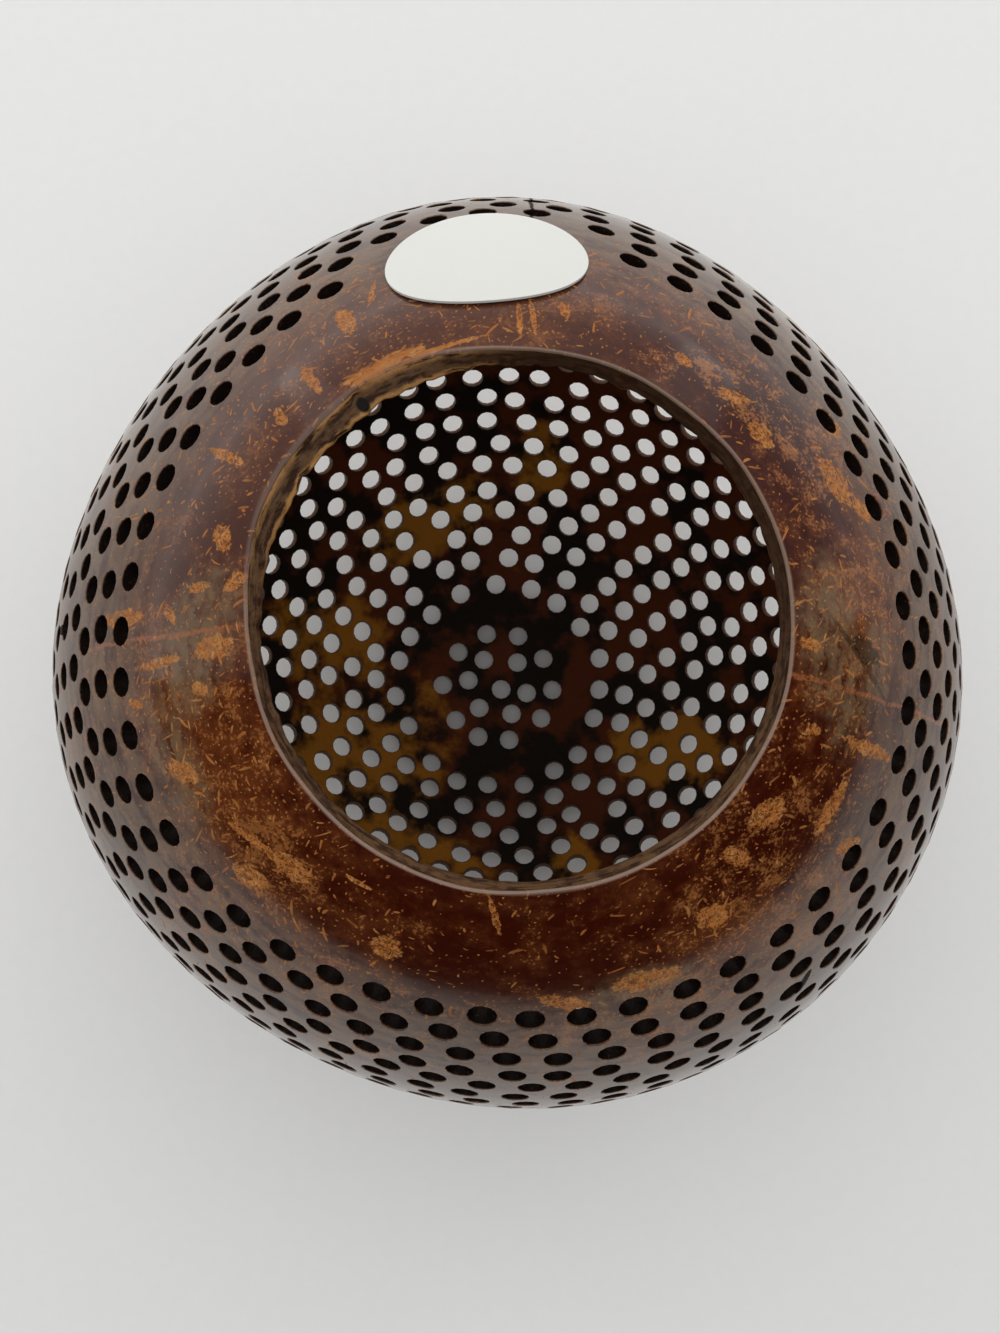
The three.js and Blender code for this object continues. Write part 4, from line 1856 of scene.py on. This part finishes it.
    def drilled(
        self,
        blank: bpy.types.Object,
        spots: np.ndarray,
        outward: np.ndarray,
        lean: np.ndarray,
        material: bpy.types.Material,
    ) -> bpy.types.Mesh:
        """Return the blank with its holes, as a plain mesh.

        Args:
            blank: the shell before it is drilled.
            spots: where the holes come out, from the belly's middle.
            outward: the way out of the nut at each hole.
            lean: how each hole leans from it.
            material: the shell's finish.

        Returns:
            The drilled mesh.
        """
        middles = spots - (outward + lean) * (self.shape.wall / 2) + self.place
        places = bpy.data.meshes.new("hole_places")
        places.from_pydata([tuple(middle) for middle in middles], [], [])
        for name, values in (("outward", outward), ("lean", lean)):
            kept = places.attributes.new(name, "FLOAT_VECTOR", "POINT")
            kept.data.foreach_set("vector", values.astype(np.float32).ravel())
        cutter = linked("hole_places", places)
        values = {
            "Blank": blank,
            "Diameter": self.holes.diameter,
            "Rounding": self.holes.rounding,
            "Wall": self.shape.wall,
            "Overrun": self.drilling.overrun,
            "Material": material,
        }
        mesh = self.drilling.tree().run(cutter, values, "shell")
        bpy.data.objects.remove(cutter)
        return mesh

    def smooth(
        self, mesh: bpy.types.Mesh, spots: np.ndarray, outward: np.ndarray, lean: np.ndarray
    ) -> None:
        """Give each point of the drilled mesh the normal of the surface that it lies on.

        Args:
            mesh: the drilled shell.
            spots: where the holes come out, from the belly's middle.
            outward: the way out of the nut at each hole.
            lean: how each hole leans from it.
        """
        shape = self.shape
        mesh.shade_smooth()
        points = vertex_values(mesh, "co") - np.array(self.place)
        normals = vertex_values(mesh, "normal")
        ways = unit(points)
        depth = shape.outside_along(ways) - np.linalg.norm(points, axis=1)
        across = np.hypot(points[:, 0], points[:, 1])
        lip = across < shape.mouth_radius + shape.lip_round * self.lip_share
        lip &= points[:, 2] > 0
        flat = across < shape.flat_radius * self.flat_share
        flat &= points[:, 2] < self.level_skin - shape.flat_depth
        outer = (depth < self.skin) & ~lip & ~flat
        inner = (depth > shape.wall - self.skin) & ~lip & ~flat
        normals[outer] = shape.normals(ways[outer])
        normals[inner] = -shape.normals(ways[inner], shape.wall)
        normals[flat] = (0, 0, -1)
        drilled = outward + lean
        tree = near_tree(spots - drilled * (shape.wall / 2))
        for index in np.flatnonzero(~(outer | inner | flat | lip)):
            _, hole, _ = tree.find(points[index])
            aside = points[index] - spots[hole]
            aside -= drilled[hole] * aside.dot(outward[hole])
            if np.linalg.norm(aside) < self.holes.diameter / 2 + self.holes.rounding:
                normals[index] = -unit(aside)
        mesh.normals_split_custom_set_from_vertices([tuple(normal) for normal in normals])


def vertex_values(mesh: bpy.types.Mesh, name: str) -> np.ndarray:
    """Return a vector of every vertex of a mesh.

    Args:
        mesh: the mesh.
        name: the vector's name.

    Returns:
        One row for each vertex.
    """
    values = np.empty(len(mesh.vertices) * 3, dtype=np.float32)
    mesh.vertices.foreach_get(name, values)
    return values.reshape(-1, 3).astype(float)


def steps(start: float, end: float, longest: float) -> list[float]:
    """Return even steps from a start to an end.

    Args:
        start: the first.
        end: the last.
        longest: how long a step may be.

    Returns:
        The steps, with both ends.
    """
    count = math.ceil(abs(end - start) / longest)
    return [start + (end - start) * step / count for step in range(count + 1)]


@dataclass
class PaperLabel:
    """The blank oval paper label stuck to the shell beside the mouth.

    Attributes:
        shape: the nut.
        place: where the belly's middle is, in metres.
        spot: where the label is, and its size.
        fullness: how much fuller than an oval it is above and below, in metres.
        thickness: in metres.
        clearance: the glue line between it and the shell, in metres.
        around: how many points there are round it.
        rings: how many rings there are from its middle to its edge.
        finish: its finish.
    """

    shape: NutShape
    place: Vector
    spot: LabelSpot = LabelSpot()
    fullness: float = 1.4 * MM
    thickness: float = 0.3 * MM
    clearance: float = 0.25 * MM
    around: int = 96
    rings: int = 12
    finish: PlainFinish = PlainFinish("paper", (0.66, 0.66, 0.63), 0.62, 3.0, 0.02)

    def ring(self, share: float, lift: float) -> np.ndarray:
        """Return a ring of the label's points.

        Args:
            share: how far out it is, as a share of the way to the label's edge.
            lift: how far above the shell it is, in metres.

        Returns:
            The points, with the belly's middle as their origin.
        """
        belly = self.shape.belly_radius
        middle, across, down = self.spot.axes(self.shape)
        turn = circle(self.around)
        level = self.spot.width / 2 * np.cos(turn)
        rise = self.spot.height / 2 * np.sin(turn) + self.fullness * np.cos(turn) ** 2
        way = across * (share * level / belly)[:, None] - down * (share * rise / belly)[:, None]
        ways = unit(middle + way)
        return ways * (self.shape.outside_along(ways) + lift)[:, None]

    def build(self) -> bpy.types.Object:
        """Build the label and put it in the CAD label's place.

        Returns:
            The label.
        """
        under, over = self.clearance, self.clearance + self.thickness
        surface = Surface()
        surface.ring(self.ring(0.0, under)[:1])
        shares = [ring / self.rings for ring in range(1, self.rings + 1)]
        for share in shares:
            surface.ring(self.ring(share, under))
        for share in reversed(shares):
            surface.ring(self.ring(share, over))
        surface.ring(self.ring(0.0, over)[:1])
        label = surface.object("label", self.place)
        label.data.materials.append(self.finish.material())
        label.data.set_sharp_from_angle(angle=math.radians(40))
        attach(label, "root")
        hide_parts("paper_label")
        LOG.info("label: %d faces", len(label.data.polygons))
        return label


@dataclass(frozen=True)
class Panel:
    """A soft rectangular light that faces the shell.

    Attributes:
        name: the light's name.
        spot: where its middle is, in metres from the shell's belly.
        size: its width and height, in metres.
        power: in watts.
        colour: linear red, green and blue.
    """

    name: str
    spot: tuple[float, float, float]
    size: tuple[float, float]
    power: float
    colour: Colour = (1.0, 1.0, 1.0)

    def hang(self, place: Vector) -> None:
        """Hang the light.

        Args:
            place: what it is aimed at.
        """
        lamp = bpy.data.lights.new(self.name, "AREA")
        lamp.shape = "RECTANGLE"
        lamp.size, lamp.size_y = self.size
        lamp.energy = self.power
        lamp.color = self.colour
        hung = linked(self.name, lamp)
        back = Vector(self.spot).normalized()
        right = Vector((0, 0, 1)).cross(back).normalized()
        turned = Matrix((right, back.cross(right), back)).transposed().to_4x4()
        hung.matrix_world = Matrix.Translation(place + Vector(self.spot)) @ turned


@dataclass
class Studio:
    """The pale floor, the soft light and the camera at the photograph's angle.

    Attributes:
        place: where the belly's middle is, in metres.
        half: half of the floor's width, in metres.
        sky: the even light from all round.
        sky_strength: how bright it is.
        mirrored_sky: how bright it is in the lacquer.
        camera_spot: where the camera is, in metres.
        camera_pitch: how far it is tipped towards the label, in radians.
        camera_roll: how far it is tipped to the side, in radians.
        lens: its focal length, in millimetres.
        film: how wide its picture is, in millimetres.
        panels: the soft lights.
        floor_finish: the floor's finish.
    """

    place: Vector
    half: float = 3.0
    sky: Colour = (0.99, 0.99, 0.98)
    sky_strength: float = 0.34
    mirrored_sky: float = 0.03
    camera_spot: tuple[float, float, float] = (-6.02 * MM, -19.23 * MM, 278.24 * MM)
    camera_pitch: float = 0.0787
    camera_roll: float = -0.0231
    lens: float = 42.48
    film: float = 36.0
    panels: tuple[Panel, ...] = (
        Panel("overhead", (0.0, 0.05, 1.5), (2.0, 2.0), 12.0, (1.0, 0.99, 0.98)),
        Panel("high", (0.0, 1.2, 1.1), (2.4, 0.9), 3.0, (1.0, 1.0, 0.99)),
        Panel("back", (0.0, 1.3, 0.29), (2.4, 0.72), 8.0, (0.99, 0.99, 0.98)),
        Panel("left", (-1.3, 0.6, 0.42), (1.6, 1.0), 6.5, (0.99, 0.99, 0.98)),
        Panel("right", (1.2, 0.8, 0.42), (1.4, 1.0), 4.8, (0.99, 0.99, 0.98)),
    )
    floor_finish: PlainFinish = PlainFinish("floor", (0.86, 0.863, 0.857), 0.75, 0.4, 0.02)

    def floor(self) -> None:
        """Lay the pale floor."""
        mesh = bpy.data.meshes.new("floor")
        half = self.half
        corners = [(-half, -half, 0), (half, -half, 0), (half, half, 0), (-half, half, 0)]
        mesh.from_pydata(corners, [], [(0, 1, 2, 3)])
        mesh.materials.append(self.floor_finish.material())
        linked("floor", mesh)

    def light(self) -> None:
        """Hang the soft lights, with a dim even sky round them."""
        world = bpy.data.worlds.new("studio")
        bpy.context.scene.world = world
        world.use_nodes = True
        nodes, links = world.node_tree.nodes, world.node_tree.links
        rays = nodes.new("ShaderNodeLightPath")
        strength = nodes.new("ShaderNodeMapRange")
        strength.inputs["To Min"].default_value = self.sky_strength
        strength.inputs["To Max"].default_value = self.mirrored_sky
        links.new(rays.outputs["Is Glossy Ray"], strength.inputs["Value"])
        sky = nodes["Background"]
        sky.inputs["Color"].default_value = (*self.sky, 1)
        links.new(strength.outputs["Result"], sky.inputs["Strength"])
        for panel in self.panels:
            panel.hang(self.place)

    def camera(self) -> None:
        """Set the camera where the photograph was taken from."""
        lens = bpy.data.cameras.new("camera")
        lens.lens = self.lens
        lens.sensor_width = self.film
        camera = linked("camera", lens)
        turned = Matrix.Rotation(self.camera_roll, 4, "Y") @ Matrix.Rotation(self.camera_pitch, 4, "X")
        camera.matrix_world = Matrix.Translation(self.camera_spot) @ turned
        bpy.context.scene.camera = camera

    def build(self) -> None:
        """Build the floor, the light and the camera."""
        self.floor()
        self.light()
        self.camera()
        bpy.context.scene.view_settings.view_transform = "Standard"
        LOG.info("studio: %d lights", len(self.panels))


def belly_middle(shape: NutShape) -> Vector:
    """Find the belly's middle from the CAD shell's box.

    Args:
        shape: the nut.

    Returns:
        Where it is in the row's frame.
    """
    low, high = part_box("coconut_shell")
    rim = shape.points(math.pi / 2, circle(360), 0)
    middle = (rim.min(axis=0) + rim.max(axis=0)) / 2
    return Vector(
        ((low[0] + high[0]) / 2 - middle[0], (low[1] + high[1]) / 2 - middle[1], shape.flat_depth)
    )


def main() -> None:
    """Build every piece in order and report each one."""
    logging.basicConfig(level=logging.INFO, format="%(name)s: %(message)s")
    shape = NutShape()
    place = belly_middle(shape)
    CoconutShell(shape, place).build()
    PaperLabel(shape, place).build()
    Studio(place).build()


if __name__ == "__main__":
    main()
